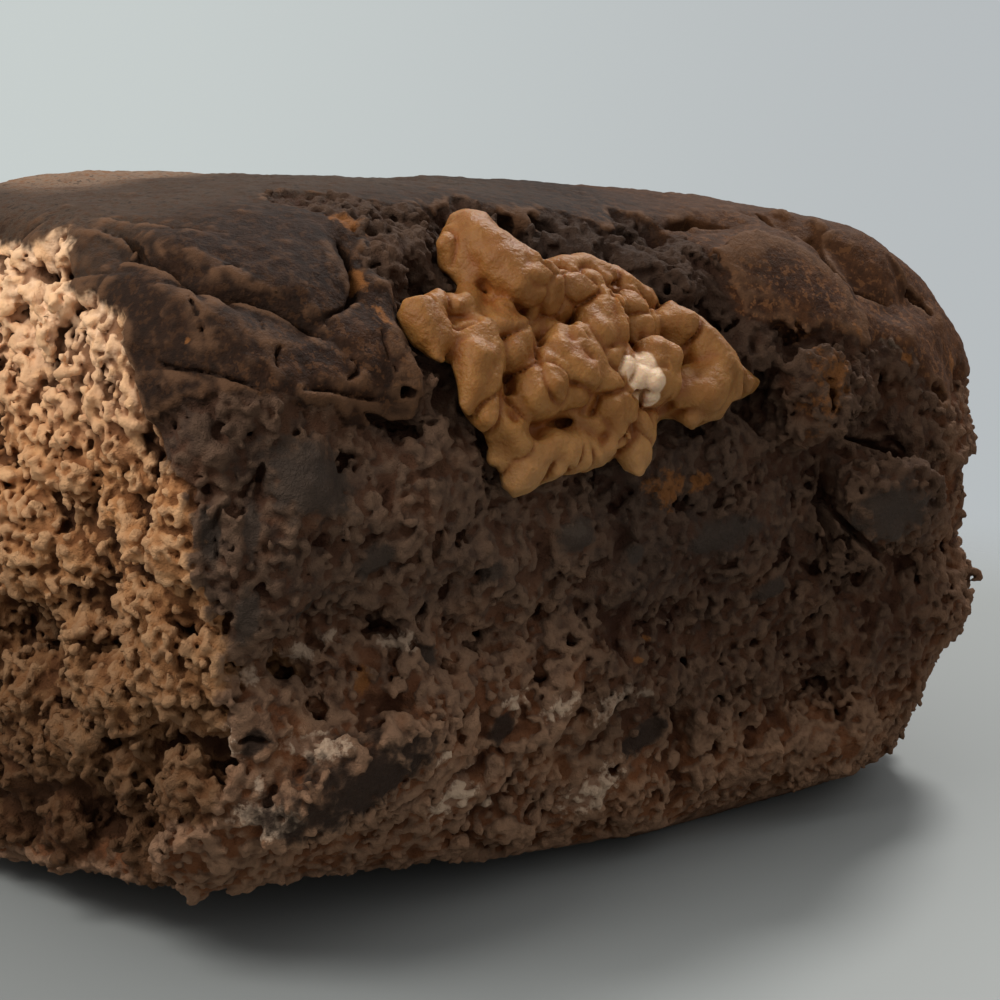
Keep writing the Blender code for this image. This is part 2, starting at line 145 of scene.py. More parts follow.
# Colours of the crust
CRUST_DARK = (0.036, 0.0155, 0.0085)
CRUST_BROWN = (0.076, 0.031, 0.0140)
# Painted sheen: the far top of the crust lighter, as if light glanced off it from behind
PAINTED_CRUST_SHEEN = (0.25, 0.165, 0.110)
CRUST_NEAR_TOP = (0.125, 0.066, 0.040)
CRUST_LIGHT_FLECKS = (0.190, 0.080, 0.031)
CRUST_DARK_FLECKS = (0.016, 0.0095, 0.0065)
CRUST_RUSTY = (0.115, 0.043, 0.015)
CRUST_RIGHT = (0.105, 0.043, 0.018)
CRUST_PEAK = (0.060, 0.024, 0.008)
CRUST_BY_TORN = (0.014, 0.0075, 0.0045)
# Painted highlight: lighter crust along its raised rims and ridges
CRUST_RIDGE_HIGHLIGHT = (0.15, 0.075, 0.038)

# Colours of the torn face
TORN_TAN = (0.58, 0.270, 0.106)
TORN_BROWN = (0.42, 0.186, 0.073)
# Torn face lighter at the top, darker low down: partly its own tone, partly painted light falling off
TORN_TOP_TONE_AND_LIGHT = (0.92, 0.65, 0.43)
TORN_GRAIN_LIGHT = (0.78, 0.43, 0.200)
TORN_GRAIN_DARK = (0.23, 0.090, 0.032)
# Painted highlight on the crests, painted shade in the small hollows and in the holes of the torn face
TORN_CREST_HIGHLIGHT = (0.82, 0.50, 0.27)
TORN_PIT_SHADE = (0.150, 0.048, 0.014)
TORN_HOLE_SHADE = (0.050, 0.021, 0.010)
TORN_LOW_TONE_AND_SHADE = (0.060, 0.0260, 0.0120)

# Colours of the peanut butter
SPREAD_BROWN = (0.262, 0.102, 0.0185)
SPREAD_TAN = (0.340, 0.150, 0.034)
# Painted highlight: lighter peanut butter on the crests of its lobes
SPREAD_CREST_HIGHLIGHT = (0.385, 0.178, 0.050)
# Painted light: the peanut butter lighter low down, where it faces away from the light
SPREAD_LOW_PAINTED_LIGHT = (0.54, 0.310, 0.130)
# Painted shade on the right and on the top of the peanut butter, offsetting the strong light there
SPREAD_RIGHT_PAINTED_SHADE = (0.150, 0.068, 0.016)
SPREAD_TOP_PAINTED_SHADE = (0.170, 0.058, 0.011)
# Painted shade: darker, more orange peanut butter and nugget in the seams between lobes
SPREAD_SEAM_SHADE = (0.225, 0.064, 0.008)
SPREAD_DEEP_SEAM_SHADE = (0.085, 0.021, 0.004)
NUGGET_PALE = (0.74, 0.515, 0.330)
NUGGET_SEAM_SHADE = (0.42, 0.215, 0.085)

# Colours of the floor, of the backdrop on its right and left, and of the soft light
FLOOR_GREY = (0.315, 0.334, 0.330, 1.0)
BACKDROP_RIGHT = (0.475, 0.505, 0.520)
BACKDROP_LEFT = (0.575, 0.620, 0.610)
SOFT_LIGHT = (0.56, 0.56, 0.56, 1.0)


class Wire:
    """A socket of a node tree. Arithmetic on it adds Math nodes."""

    def __init__(self, nodes, socket):
        self.nodes = nodes
        self.socket = socket

    def maths(self, operation, *values):
        return self.nodes.add("ShaderNodeMath", dict(enumerate(values)), operation=operation)

    def __add__(self, other):
        return self.maths("ADD", self, other)

    def __sub__(self, other):
        return self.maths("SUBTRACT", self, other)

    def __mul__(self, other):
        return self.maths("MULTIPLY", self, other)

    def __rsub__(self, other):
        return self.maths("SUBTRACT", other, self)

    __radd__ = __add__
    __rmul__ = __mul__

    def highest(self, other):
        return self.maths("MAXIMUM", self, other)

    def rise(self, start, end):
        """0 before start, 1 past end, and a smooth slope between. It falls where end is the lower one."""
        low, high = min(start, end), max(start, end)
        first, last = (0.0, 1.0) if start < end else (1.0, 0.0)
        sockets = {0: self, 1: low, 2: high, 3: first, 4: last}
        return self.nodes.add("ShaderNodeMapRange", sockets, interpolation_type="SMOOTHSTEP")


class Nodes:
    """A node tree that is built one call at a time."""

    def __init__(self, tree):
        self.tree = tree

    def add(self, kind, sockets=None, out=0, **settings):
        """A node with its settings, then the values or links of its sockets. Returns one of its outputs."""
        node = self.tree.nodes.new(kind)
        for name, value in settings.items():
            setattr(node, name, value)
        for key, value in (sockets or {}).items():
            if isinstance(value, Wire):
                self.tree.links.new(value.socket, node.inputs[key])
            else:
                node.inputs[key].default_value = value
        return Wire(self, node.outputs[out]) if len(node.outputs) else None

    def blend(self, share, first, second):
        """Colour between first and second."""
        first, second = ((*c, 1.0) if isinstance(c, tuple) else c for c in (first, second))
        return self.add("ShaderNodeMix", {0: share, 6: first, 7: second}, out=2, data_type="RGBA")

    def layered(self, colour, *layers):
        """Colour with others laid over it in turn, each with its share."""
        for share, other in layers:
            colour = self.blend(share, colour, other)
        return colour

    def between(self, share, first, second):
        """Number between first and second."""
        return self.add("ShaderNodeMix", {0: share, 2: first, 3: second}, data_type="FLOAT")

    def noise(self, place, size, detail=2.0, roughness=0.5, out=0):
        """Soft noise about 0.5, whose lumps are about size apart."""
        sockets = {"Vector": place, "Scale": 1.0 / size, "Detail": detail, "Roughness": roughness}
        return self.add("ShaderNodeTexNoise", sockets, out=out)

    def grains(self, place, size):
        """Distance to the nearest of scattered points that are about size apart, in those sizes."""
        return self.add("ShaderNodeTexVoronoi", {"Vector": place, "Scale": 1.0 / size}, out="Distance")

    def warped(self, place, size, amount, detail=1.0):
        """Place, pushed about by noise."""
        noise = self.noise(place, size, detail, out=1)
        shift = self.add("ShaderNodeVectorMath", {0: noise, 1: (0.5, 0.5, 0.5)}, operation="SUBTRACT")
        sockets = {0: shift, 1: (amount,) * 3, 2: place}
        return self.add("ShaderNodeVectorMath", sockets, operation="MULTIPLY_ADD")

    def part(self, place, axis):
        """One coordinate of a place."""
        return self.add("ShaderNodeSeparateXYZ", {0: place}, out=axis)

    def scaled(self, place, x, y, z):
        """Place, stretched along each axis."""
        return self.add("ShaderNodeVectorMath", {0: place, 1: (x, y, z)}, operation="MULTIPLY")


def smoothstep(start, end, value):
    """0 before start, 1 past end, and an even slope between, for arrays."""
    t = np.clip((value - start) / (end - start), 0.0, 1.0)
    return t * t * (3.0 - 2.0 * t)


def unit(vector):
    return vector / np.linalg.norm(vector)


def mesh_arrays(obj):
    """Corners in millimetres and triangles of a CAD node."""
    mesh = obj.data
    mesh.calc_loop_triangles()
    corners = np.empty(len(mesh.vertices) * 3, np.float32)
    mesh.vertices.foreach_get("co", corners)
    triangles = np.empty(len(mesh.loop_triangles) * 3, np.int32)
    mesh.loop_triangles.foreach_get("vertices", triangles)
    return corners.reshape(-1, 3) / MM, triangles.reshape(-1, 3)


def view_axes():
    """Directions of the photograph: back towards the camera, right and up."""
    turn, tip = math.radians(VIEW_AZIMUTH), math.radians(VIEW_ELEVATION)
    back = Vector((math.sin(turn) * math.cos(tip), -math.cos(turn) * math.cos(tip), math.sin(tip)))
    right = Vector((math.cos(turn), math.sin(turn), 0.0))
    return back, right, back.cross(right)


BACK, RIGHT, UP = view_axes()
EYE = VIEW_TARGET + BACK * VIEW_DISTANCE
PIXEL = math.tan(math.radians(VIEW_ANGLE / 2)) / HALF_FRAME


def sight(px, py):
    """Direction from the eye through a pixel of the photograph."""
    return (RIGHT * ((px - HALF_FRAME) * PIXEL) + UP * ((HALF_FRAME - py) * PIXEL) - BACK).normalized()


def solid_tree(name):
    corners, triangles = mesh_arrays(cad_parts[name])
    return BVHTree.FromPolygons(corners.tolist(), triangles.tolist())


TREES = {name: solid_tree(name) for name in ("brownie", "peanut_butter")}


def seen(px, py, solid="brownie"):
    """Where the line of sight through a pixel meets a CAD solid, or None."""
    place = TREES[solid].ray_cast(EYE, sight(px, py))[0]
    return None if place is None else np.array(place)


def stretch(values, axis, count, ratio):
    """Values along one axis at count finer places, ratio of a coarse step apart."""
    at = np.arange(count) * ratio
    low = np.minimum(at.astype(int), values.shape[axis] - 2)
    share = (at - low).astype(np.float32).reshape([-1 if a == axis else 1 for a in range(3)])
    return np.take(values, low, axis) * (1.0 - share) + np.take(values, low + 1, axis) * share


def blurred(values, cells):
    """Soft blur of a grid, with a bell of that many cells."""
    reach = int(math.ceil(2.5 * cells))
    weights = np.exp(-0.5 * (np.arange(-reach, reach + 1) / cells) ** 2)
    weights = (weights / weights.sum()).astype(np.float32)
    for axis in range(3):
        padding = [(reach, reach) if a == axis else (0, 0) for a in range(3)]
        padded = np.pad(values, padding, mode="edge")
        count = values.shape[axis]
        parts = (w * np.take(padded, range(i, i + count), axis) for i, w in enumerate(weights))
        values = sum(parts)
    return values


class Form:
    """A solid as a grid of distances to its surface, in millimetres: negative inside."""

    def __init__(self, low, cell, depth):
        self.low = low
        self.cell = cell
        self.depth = depth

    @classmethod
    def of_node(cls, name, cell, blur, reach, margin):
        """The form of a CAD node, a little rounded."""
        corners, triangles = mesh_arrays(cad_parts[name])
        spacing = openvdb.createLinearTransform(voxelSize=cell)
        grid = openvdb.FloatGrid.createLevelSetFromPolygons(
            corners, triangles=triangles.astype(np.uint32), transform=spacing, halfWidth=reach / cell)
        low = np.floor((corners.min(0) - margin) / cell).astype(int)
        high = np.ceil((corners.max(0) + margin) / cell).astype(int)
        values = np.empty(tuple(high - low + 1), np.float32)
        grid.copyToArray(values, ijk=tuple(int(i) for i in low))
        return cls(low * cell, cell, blurred(values, blur / cell))

    def refined(self, values, cell):
        """A grid of this form's at a finer cell."""
        for axis in range(3):
            count = int((values.shape[axis] - 1) * self.cell / cell) + 1
            values = stretch(values, axis, count, cell / self.cell)
        return values.astype(np.float32)

    def finer(self, cell):
        return Form(self.low, cell, self.refined(self.depth, cell))

    def axes(self, slices=None):
        """Places of the grid along each axis, ready to combine."""
        lines = []
        for axis, count in enumerate(self.depth.shape):
            line = (self.low[axis] + np.arange(count) * self.cell).astype(np.float32)
            line = line[slices[axis]] if slices else line
            lines.append(line.reshape([-1 if a == axis else 1 for a in range(3)]))
        return lines

    def block(self, low, high):
        """The part of the grid between two corners."""
        start = np.clip(np.floor((low - self.low) / self.cell).astype(int), 0, self.depth.shape)
        stop = np.clip(np.ceil((high - self.low) / self.cell).astype(int) + 1, 0, self.depth.shape)
        return tuple(slice(a, b) for a, b in zip(start, stop))

    def places(self, flat):
        """Places of numbered cells."""
        found = np.unravel_index(flat, self.depth.shape)
        columns = [self.low[axis] + found[axis] * self.cell for axis in range(3)]
        return np.stack(columns, 1).astype(np.float32)

    def outward(self, place):
        """Direction out of the solid near a place."""
        slices = self.block(place - 1.6, place + 1.6)
        slopes = np.gradient(self.depth[slices])
        return unit(np.array([float(s.mean()) for s in slopes]))

    def mesh(self):
        """Corners and faces of the surface."""
        grid = openvdb.FloatGrid(float(self.depth.max()))
        grid.transform = openvdb.createLinearTransform(voxelSize=self.cell)
        grid.copyFromArray(self.depth)
        corners, triangles, quads = grid.convertToPolygons(isovalue=0.0, adaptivity=0.0)
        return corners + self.low.astype(np.float32), quads[:, ::-1]


def values_at(places, given, build):
    """Evaluates number fields at places. build(nodes, place, given) returns them by name, as wires."""
    mesh = bpy.data.meshes.new("probe")
    mesh.vertices.add(len(places))
    mesh.vertices.foreach_set("co", places.ravel())
    for name, values in given.items():
        mesh.attributes.new(name, "FLOAT", "POINT").data.foreach_set("value", values)
    probe = bpy.data.objects.new("probe", mesh)
    bpy.context.scene.collection.objects.link(probe)
    tree = bpy.data.node_groups.new("probe", "GeometryNodeTree")
    tree.interface.new_socket("Geometry", in_out="INPUT", socket_type="NodeSocketGeometry")
    tree.interface.new_socket("Geometry", in_out="OUTPUT", socket_type="NodeSocketGeometry")
    nodes = Nodes(tree)
    place = nodes.add("GeometryNodeInputPosition")
    wires = {n: nodes.add("GeometryNodeInputNamedAttribute", {"Name": n}, data_type="FLOAT") for n in given}
    points = nodes.add("NodeGroupInput")
    made = build(nodes, place, wires)
    for name, value in made.items():
        sockets = {"Geometry": points, "Name": name, "Value": value}
        points = nodes.add("GeometryNodeStoreNamedAttribute", sockets, data_type="FLOAT", domain="POINT")
    nodes.add("NodeGroupOutput", {0: points})
    probe.modifiers.new("probe", "NODES").node_group = tree
    result = probe.evaluated_get(bpy.context.evaluated_depsgraph_get()).data
    found = {}
    for name in made:
        found[name] = np.empty(len(places), np.float32)
        result.attributes[name].data.foreach_get("value", found[name])
    bpy.data.objects.remove(probe)
    bpy.data.meshes.remove(mesh)
    bpy.data.node_groups.remove(tree)
    return found


class Border:
    """An edge on the bar between two finishes: places on it, and the direction over it to the inner side."""

    def __init__(self, picture, places):
        spots = []
        for edge, inner in picture:
            spots.append((seen(*edge), seen(*inner)))
        for edge, toward in places:
            spots.append((np.array(edge), np.array(edge) + np.array(toward)))
        self.spots = [(a, unit(b - a)) for a, b in spots]

    def inside(self, x, y, z):
        """About how far over the edge a place is, in millimetres: positive on the inner side."""
        total, weights = 0.0, 0.0
        for (a, b, c), (u, v, w) in self.spots:
            dx, dy, dz = x - a, y - b, z - c
            weight = 1.0 / (dx * dx + dy * dy + dz * dz + 0.3) ** 2
            total = total + weight * (dx * u + dy * v + dz * w)
            weights = weights + weight
        return total / weights

    def grid(self, form, step=4):
        """The same over a form's whole grid, worked out at every few cells."""
        lines = form.axes()
        coarse = []
        for axis, line in enumerate(lines):
            count = line.size // step + 2
            steps = form.low[axis] + np.arange(count) * form.cell * step
            coarse.append(steps.astype(np.float32).reshape(line.shape[:axis] + (-1,) + line.shape[axis + 1:]))
        values = self.inside(*coarse)
        for axis, line in enumerate(lines):
            values = stretch(values, axis, line.size, 1.0 / step)
        return values.astype(np.float32)


# Ragged holes: left, top, right and bottom in pixels of the photograph, and depth in millimetres
HOLES = [
    (0, 300, 28, 332, 2.2), (10, 358, 27, 377, 1.4), (-14, 612, 26, 657, 2.4),
    (72, 631, 124, 651, 2.2), (123, 688, 138, 703, 1.2), (20, 704, 49, 722, 1.4),
    (55, 700, 76, 726, 1.4), (26, 756, 46, 768, 1.2), (72, 758, 95, 812, 2.2),
    (126, 780, 143, 852, 2.0), (157, 740, 169, 768, 1.6), (161, 704, 195, 722, 1.6),
    (212, 706, 230, 728, 1.2), (135, 650, 142, 663, 0.9), (168, 836, 176, 847, 0.8),
    (191, 836, 202, 849, 0.8), (372, 248, 386, 261, 1.4), (392, 288, 402, 300, 1.2),
    (214, 419, 225, 431, 0.8), (246, 428, 256, 438, 0.8), (300, 430, 310, 439, 0.8),
    (385, 427, 400, 441, 1.2), (355, 455, 363, 462, 0.6), (215, 611, 230, 652, 1.2),
    (267, 651, 312, 685, 2.4), (301, 693, 339, 721, 2.0), (364, 614, 406, 640, 2.4),
    (410, 606, 435, 629, 2.0), (443, 657, 470, 674, 1.8), (472, 628, 507, 659, 2.2),
    (500, 593, 517, 606, 1.4), (526, 606, 545, 618, 1.3), (558, 634, 575, 646, 1.3),
    (577, 690, 606, 720, 1.3), (613, 763, 626, 774, 1.2), (558, 787, 570, 797, 1.2),
    (529, 803, 547, 828, 1.4), (388, 527, 411, 542, 0.9), (388, 558, 409, 570, 0.8),
    (459, 532, 473, 549, 1.0), (437, 583, 458, 600, 1.1), (475, 570, 484, 583, 0.8),
    (400, 265, 452, 292, 2.6), (420, 238, 441, 272, 1.8), (494, 214, 532, 250, 2.4),
    (527, 219, 565, 237, 2.0), (626, 239, 652, 263, 2.0), (671, 286, 684, 298, 1.4),
    (716, 318, 736, 333, 1.8), (738, 360, 777, 438, 2.4), (686, 421, 714, 435, 1.4),
    (676, 497, 699, 514, 1.6), (387, 420, 426, 439, 1.6), (400, 383, 413, 400, 1.2),
    (590, 465, 605, 484, 1.4), (568, 480, 587, 492, 1.3), (782, 332, 797, 343, 1.6),
    (824, 378, 831, 416, 1.1), (863, 409, 876, 431, 1.2), (932, 383, 945, 403, 1.1),
    (901, 294, 928, 314, 1.8), (811, 494, 838, 512, 1.8), (857, 573, 871, 593, 1.4),
    (811, 599, 831, 624, 1.4), (938, 591, 953, 603, 1.0), (779, 691, 805, 700, 1.6),
    (818, 675, 841, 695, 1.6), (834, 709, 846, 718, 1.0), (716, 658, 729, 670, 1.2),
    (722, 688, 749, 698, 1.4), (876, 717, 914, 738, 1.6), (645, 560, 660, 575, 1.0),
    (700, 600, 716, 612, 0.9), (553, 570, 566, 583, 0.9), (600, 560, 612, 570, 0.8),
    (755, 640, 770, 652, 1.0)]

# Cracks: route in pixels, width and depth in millimetres, and how far their upper side sags towards them
CRACKS = [
    ([(88, 232), (110, 238), (125, 242), (140, 248), (140, 262)], 0.12, 0.6, 0.15),
    ([(60, 279), (85, 276), (109, 272), (124, 266), (138, 262)], 0.10, 0.4, 0.25),
    ([(140, 262), (153, 266), (176, 270), (184, 283), (205, 296), (228, 301),
      (250, 305)], 0.26, 1.5, 0.75),
    ([(250, 305), (265, 309), (281, 315), (291, 325), (306, 335), (326, 343)], 0.17, 1.0, 0.35),
    ([(188, 297), (195, 307), (199, 317), (202, 328), (205, 341)], 0.11, 0.7, 0.0),
    ([(159, 363), (177, 369), (199, 371), (220, 375), (231, 379), (247, 384),
      (260, 392)], 0.17, 0.8, 0.25),
    ([(337, 246), (343, 261), (348, 277), (353, 288), (351, 305)], 0.36, 1.4, 0.2),
    ([(351, 300), (345, 309), (327, 317), (324, 321), (329, 334)], 0.16, 0.8, 0.2),
    ([(281, 344), (275, 357), (276, 370)], 0.13, 0.6, 0.0),
    ([(343, 357), (357, 366), (356, 374), (345, 381)], 0.10, 0.5, 0.1),
    ([(224, 266), (232, 265), (240, 269)], 0.13, 0.5, 0.3),
    ([(23, 242), (32, 234), (41, 228)], 0.20, 0.8, 0.1),
    ([(100, 221), (150, 226), (190, 232), (226, 236)], 0.08, 0.35, 0.2),
    ([(300, 391), (327, 391), (353, 397), (380, 401)], 0.14, 0.6, 0.2),
    ([(256, 312), (262, 330), (258, 344)], 0.07, 0.3, 0.0),
    ([(380, 330), (386, 352), (396, 372)], 0.08, 0.4, 0.1),
    ([(263, 464), (260, 480), (257, 500)], 0.42, 1.6, 0.0),
    ([(360, 413), (385, 425), (410, 424), (432, 412)], 0.40, 1.6, 0.0),
    ([(664, 232), (690, 226), (728, 233)], 0.50, 1.5, 0.2),
    ([(757, 218), (763, 223), (789, 235), (812, 246), (827, 264), (845, 282), (870, 300),
      (883, 308)], 0.55, 1.6, 0.3),
    ([(850, 438), (881, 445), (904, 456), (921, 473), (942, 485)], 0.55, 1.6, 0.5),
    ([(824, 452), (830, 480), (820, 520), (818, 542)], 0.60, 1.7, 0.0),
    ([(818, 500), (840, 520), (866, 540), (880, 560), (866, 590)], 0.45, 1.4, 0.4),
    ([(674, 710), (682, 728), (690, 747)], 0.60, 1.8, 0.0),
    ([(223, 500), (212, 530), (218, 566)], 0.22, 0.8, 0.0),
    ([(300, 832), (345, 826), (395, 806), (430, 786)], 0.40, 1.4, 0.0),
    ([(238, 742), (250, 738), (268, 742)], 0.22, 0.7, 0.0),
    ([(100, 752), (130, 742), (158, 745)], 0.45, 1.5, 0.0)]

# Raised places: left, top, right and bottom in pixels, height in millimetres and how softly they blend in
LUMPS = [
    (246, 738, 434, 828, 1.2, 0.6), (386, 630, 424, 690, 0.7, 0.6), (786, 335, 856, 445, 0.9, 0.9),
    (835, 462, 935, 562, 0.9, 1.2), (796, 716, 880, 772, 0.8, 0.9), (322, 255, 346, 300, 0.5, 0.5),
    (738, 245, 850, 330, 0.5, 1.2), (620, 270, 680, 300, 0.7, 0.9), (146, 540, 196, 600, 0.5, 0.6),
    (773, 212, 789, 225, 0.35, 0.3), (813, 224, 827, 236, 0.4, 0.4), (885, 264, 899, 278, 0.4, 0.4)]

# Places where the crumb is smooth: left, top, right and bottom in pixels
CALM = [
    (198, 505, 222, 572), (256, 428, 384, 532), (355, 544, 395, 584), (238, 729, 274, 756),
    (488, 712, 517, 750), (626, 712, 667, 756), (684, 516, 764, 556), (628, 545, 647, 565),
    (750, 580, 790, 604), (562, 516, 606, 556), (256, 738, 440, 824), (850, 470, 925, 545),
    (235, 590, 262, 650), (285, 590, 318, 632), (480, 560, 505, 585), (415, 640, 440, 668),
    (240, 500, 262, 560)]

# Paler crumb: left, top, right and bottom in pixels
PALE = [
    (285, 728, 342, 762), (252, 772, 266, 794), (230, 802, 310, 836), (429, 774, 480, 815),
    (557, 765, 622, 819), (428, 741, 456, 759), (384, 629, 422, 652), (204, 724, 240, 762),
    (285, 642, 312, 660), (240, 668, 268, 690), (566, 520, 590, 540), (596, 690, 640, 718),
    (540, 690, 575, 720), (662, 612, 673, 626), (320, 628, 345, 644), (640, 690, 660, 705),
    (500, 690, 530, 712), (870, 335, 900, 350), (470, 800, 500, 812)]

# Warm orange marks, one of them (936, 347, 958, 386) a painted warm highlight on the right end's rim: left,
# top, right and bottom in pixels
WARM = [
    (328, 218, 366, 238), (842, 329, 856, 342), (896, 352, 910, 367), (936, 347, 958, 386),
    (186, 339, 194, 347), (646, 634, 655, 645), (352, 262, 364, 300), (372, 300, 384, 330),
    (352, 660, 372, 700), (790, 345, 850, 440), (650, 466, 700, 512), (690, 470, 712, 496),
    (640, 655, 652, 664)]

# Outline of the peanut butter, in pixels, and the radius of the balls that fill it
BED_OUTLINE = [
    (437, 243), (444, 228), (451, 215), (466, 209), (484, 215), (496, 228), (517, 243), (536, 253),
    (542, 263), (562, 256), (583, 254), (605, 261), (631, 276), (651, 289), (655, 301), (653, 314),
    (671, 304), (694, 313), (714, 332), (732, 352), (741, 367), (759, 381), (750, 395), (730, 400),
    (719, 418), (692, 427), (674, 415), (656, 418), (654, 436), (651, 458), (643, 476), (626, 469),
    (616, 450), (603, 464), (588, 469), (567, 471), (547, 479), (527, 491), (514, 496), (502, 486),
    (498, 466), (484, 463), (491, 448), (484, 431), (471, 420), (461, 403), (457, 380), (451, 362),
    (430, 357), (413, 342), (398, 314), (403, 299), (420, 298), (438, 290), (458, 296), (458, 284),
    (441, 268)]
BED_BALL = 0.8

# Where the bed's balls are tried, in pixels: left, right, top and bottom, their spacing and how far inside
BED_FRAME = (390, 765, 195, 510)
BED_STEP = 6.0
BED_INSET = 12

# Lobes of the peanut butter, as chains of balls: pixels of the photograph and radius in pixels
LOBES = [
    [(467, 229, 17), (480, 243, 25), (500, 264, 27), (516, 284, 22), (526, 297, 15)],
    [(446, 243, 10)], [(535, 258, 10)], [(530, 276, 12)], [(529, 303, 9)], [(502, 284, 14)],
    [(549, 271, 11), (567, 268, 14), (585, 267, 13), (607, 274, 12)],
    [(625, 282, 13), (643, 297, 11)], [(583, 275, 8)], [(547, 297, 9)], [(554, 280, 11)],
    [(577, 292, 12)], [(604, 292, 13)], [(625, 306, 12)], [(632, 326, 11), (633, 340, 9)],
    [(590, 320, 18), (597, 333, 19), (601, 350, 11)],
    [(415, 306, 12), (424, 325, 14), (435, 346, 10)], [(440, 302, 9)], [(457, 304, 8)],
    [(474, 306, 11)], [(498, 326, 14)], [(524, 322, 13)], [(540, 332, 10)], [(563, 312, 11)],
    [(455, 332, 10)], [(478, 330, 10)], [(475, 356, 20), (472, 388, 15), (466, 404, 12)],
    [(513, 352, 16)], [(497, 374, 10)], [(486, 415, 12)], [(505, 424, 13), (517, 440, 14)],
    [(540, 452, 19), (527, 471, 17), (516, 487, 8)], [(496, 459, 10)], [(555, 467, 12)],
    [(568, 453, 12)], [(583, 456, 12)], [(595, 453, 10), (598, 464, 6)],
    [(562, 358, 24), (578, 372, 22)], [(532, 396, 22)], [(572, 390, 17)], [(552, 386, 14)],
    [(568, 411, 5)], [(608, 358, 13)], [(603, 380, 16)], [(607, 408, 18), (616, 424, 13)],
    [(590, 402, 13)], [(643, 425, 9)], [(664, 322, 13), (682, 324, 19)],
    [(703, 340, 24), (716, 366, 22), (703, 396, 21), (680, 396, 15)], [(739, 368, 9)],
    [(744, 384, 12), (756, 384, 5)], [(690, 414, 12)], [(622, 440, 9)],
    [(632, 450, 14), (635, 467, 11)]]
NUGGET = [
    [(627, 370, 11)], [(643, 366, 11)], [(652, 381, 11)], [(631, 391, 12)], [(639, 378, 14)],
    [(648, 395, 9)], [(625, 381, 10)]]
NUBS = [
    [(643, 425, 9)], [(568, 411, 6)], [(556, 417, 5)], [(470, 304, 7)], [(629, 437, 6)],
    [(735, 384, 7)]]

# Furrows of the peanut butter, as routes of pixels with a half width in pixels and a depth in millimetres
VALLEYS = [
    ([(646, 346), (658, 350), (668, 360), (676, 368)], 9, 0.20),
    ([(536, 430), (556, 424), (578, 426), (602, 437)], 9, 0.50),
    ([(482, 286), (487, 300), (500, 309), (520, 312)], 7, 0.30),
    ([(446, 280), (456, 290)], 6, 0.30),
    ([(508, 380), (504, 400), (514, 418)], 6, 0.30),
    ([(630, 424), (634, 436)], 5, 0.20),
    ([(660, 412), (668, 404)], 6, 0.25),
    ([(612, 296), (617, 318), (622, 340), (634, 352)], 6, 0.25),
    ([(542, 308), (540, 338), (534, 360)], 6, 0.20),
    ([(568, 322), (572, 346), (590, 358)], 6, 0.20)]

# Where the torn face begins: pixels on its edge, each with a pixel on the torn side
TORN_EDGE = [
    ((3, 247), (2, 300)), ((25, 252), (20, 300)), ((71, 283), (45, 320)), ((102, 306), (75, 335)),
    ((120, 339), (85, 350)), ((135, 374), (95, 385)), ((143, 405), (100, 415)),
    ((153, 437), (110, 445)), ((178, 507), (130, 510)), ((200, 600), (150, 600)),
    ((223, 660), (165, 655)), ((215, 740), (160, 730)), ((150, 870), (110, 830))]
TORN_FAR_EDGE = [
    ((-29.6, 5.0, 34.8), (-1, 0, -1)), ((-29.8, 11.5, 33.4), (-1, -0.4, -1)),
    ((-30.2, 16.0, 29.5), (-1, -1, -0.5)), ((-30.6, 18.2, 24.0), (-1, -1, 0)),
    ((-30.4, 18.4, 17.0), (-1, -1, 0)), ((-30.2, 17.5, 10.0), (-1, -1, 0)),
    ((-29.8, 14.0, 4.0), (-1, -0.5, 1)), ((-29.6, 7.0, 2.6), (-1, 0, 1)),
    ((-29.4, -1.0, 2.8), (-1, 0, 1)), ((-29.4, -8.0, 3.6), (-1, 0, 1))]

# Where the crust ends: pixels on its low edge, each with a pixel on the crust
CRUST_EDGE = [
    ((160, 428), (160, 360)), ((185, 400), (190, 350)), ((230, 395), (230, 350)),
    ((275, 395), (270, 350)), ((330, 405), (325, 360)), ((370, 425), (365, 385)),
    ((422, 408), (395, 395)), ((426, 385), (395, 385)), ((410, 350), (375, 360)),
    ((393, 303), (362, 320)), ((370, 272), (335, 295)), ((350, 240), (315, 250)),
    ((420, 212), (410, 203)), ((500, 212), (505, 200)), ((580, 222), (585, 208)),
    ((650, 225), (655, 208)), ((700, 250), (745, 240)), ((735, 300), (775, 290)),
    ((779, 330), (800, 300)), ((840, 335), (840, 300)), ((900, 350), (895, 310)),
    ((950, 375), (935, 330))]
CRUST_FAR_EDGE = [
    ((26.0, -16.5, 24.0), (-0.4, 0.2, 1)), ((30.5, -8.0, 24.5), (-0.6, 0, 1)),
    ((31.3, 3.0, 25.0), (-0.6, 0, 1)), ((29.0, 13.0, 25.5), (-0.5, -0.3, 1)),
    ((20.0, 20.5, 26.5), (0, -0.5, 1)), ((10.0, 21.8, 27.0), (0, -0.5, 1)),
    ((0.0, 22.0, 27.5), (0, -0.5, 1)), ((-10.0, 21.8, 27.0), (0, -0.5, 1)),
    ((-20.0, 20.6, 27.5), (0, -0.5, 1)), ((-28.0, 17.5, 28.0), (0, -0.5, 1))]


def crust_share(nodes, place, inside, rag):
    """How much of a place is crust. Its edge is ragged, and wanders more at the back."""
    back = nodes.part(place, "Y").rise(-4.0, 6.0)
    wander = (nodes.noise(place, 3.5, 2.0) - 0.5) * back * 6.0
    return (inside + rag * 1.4 + wander).rise(-0.14, 0.14)


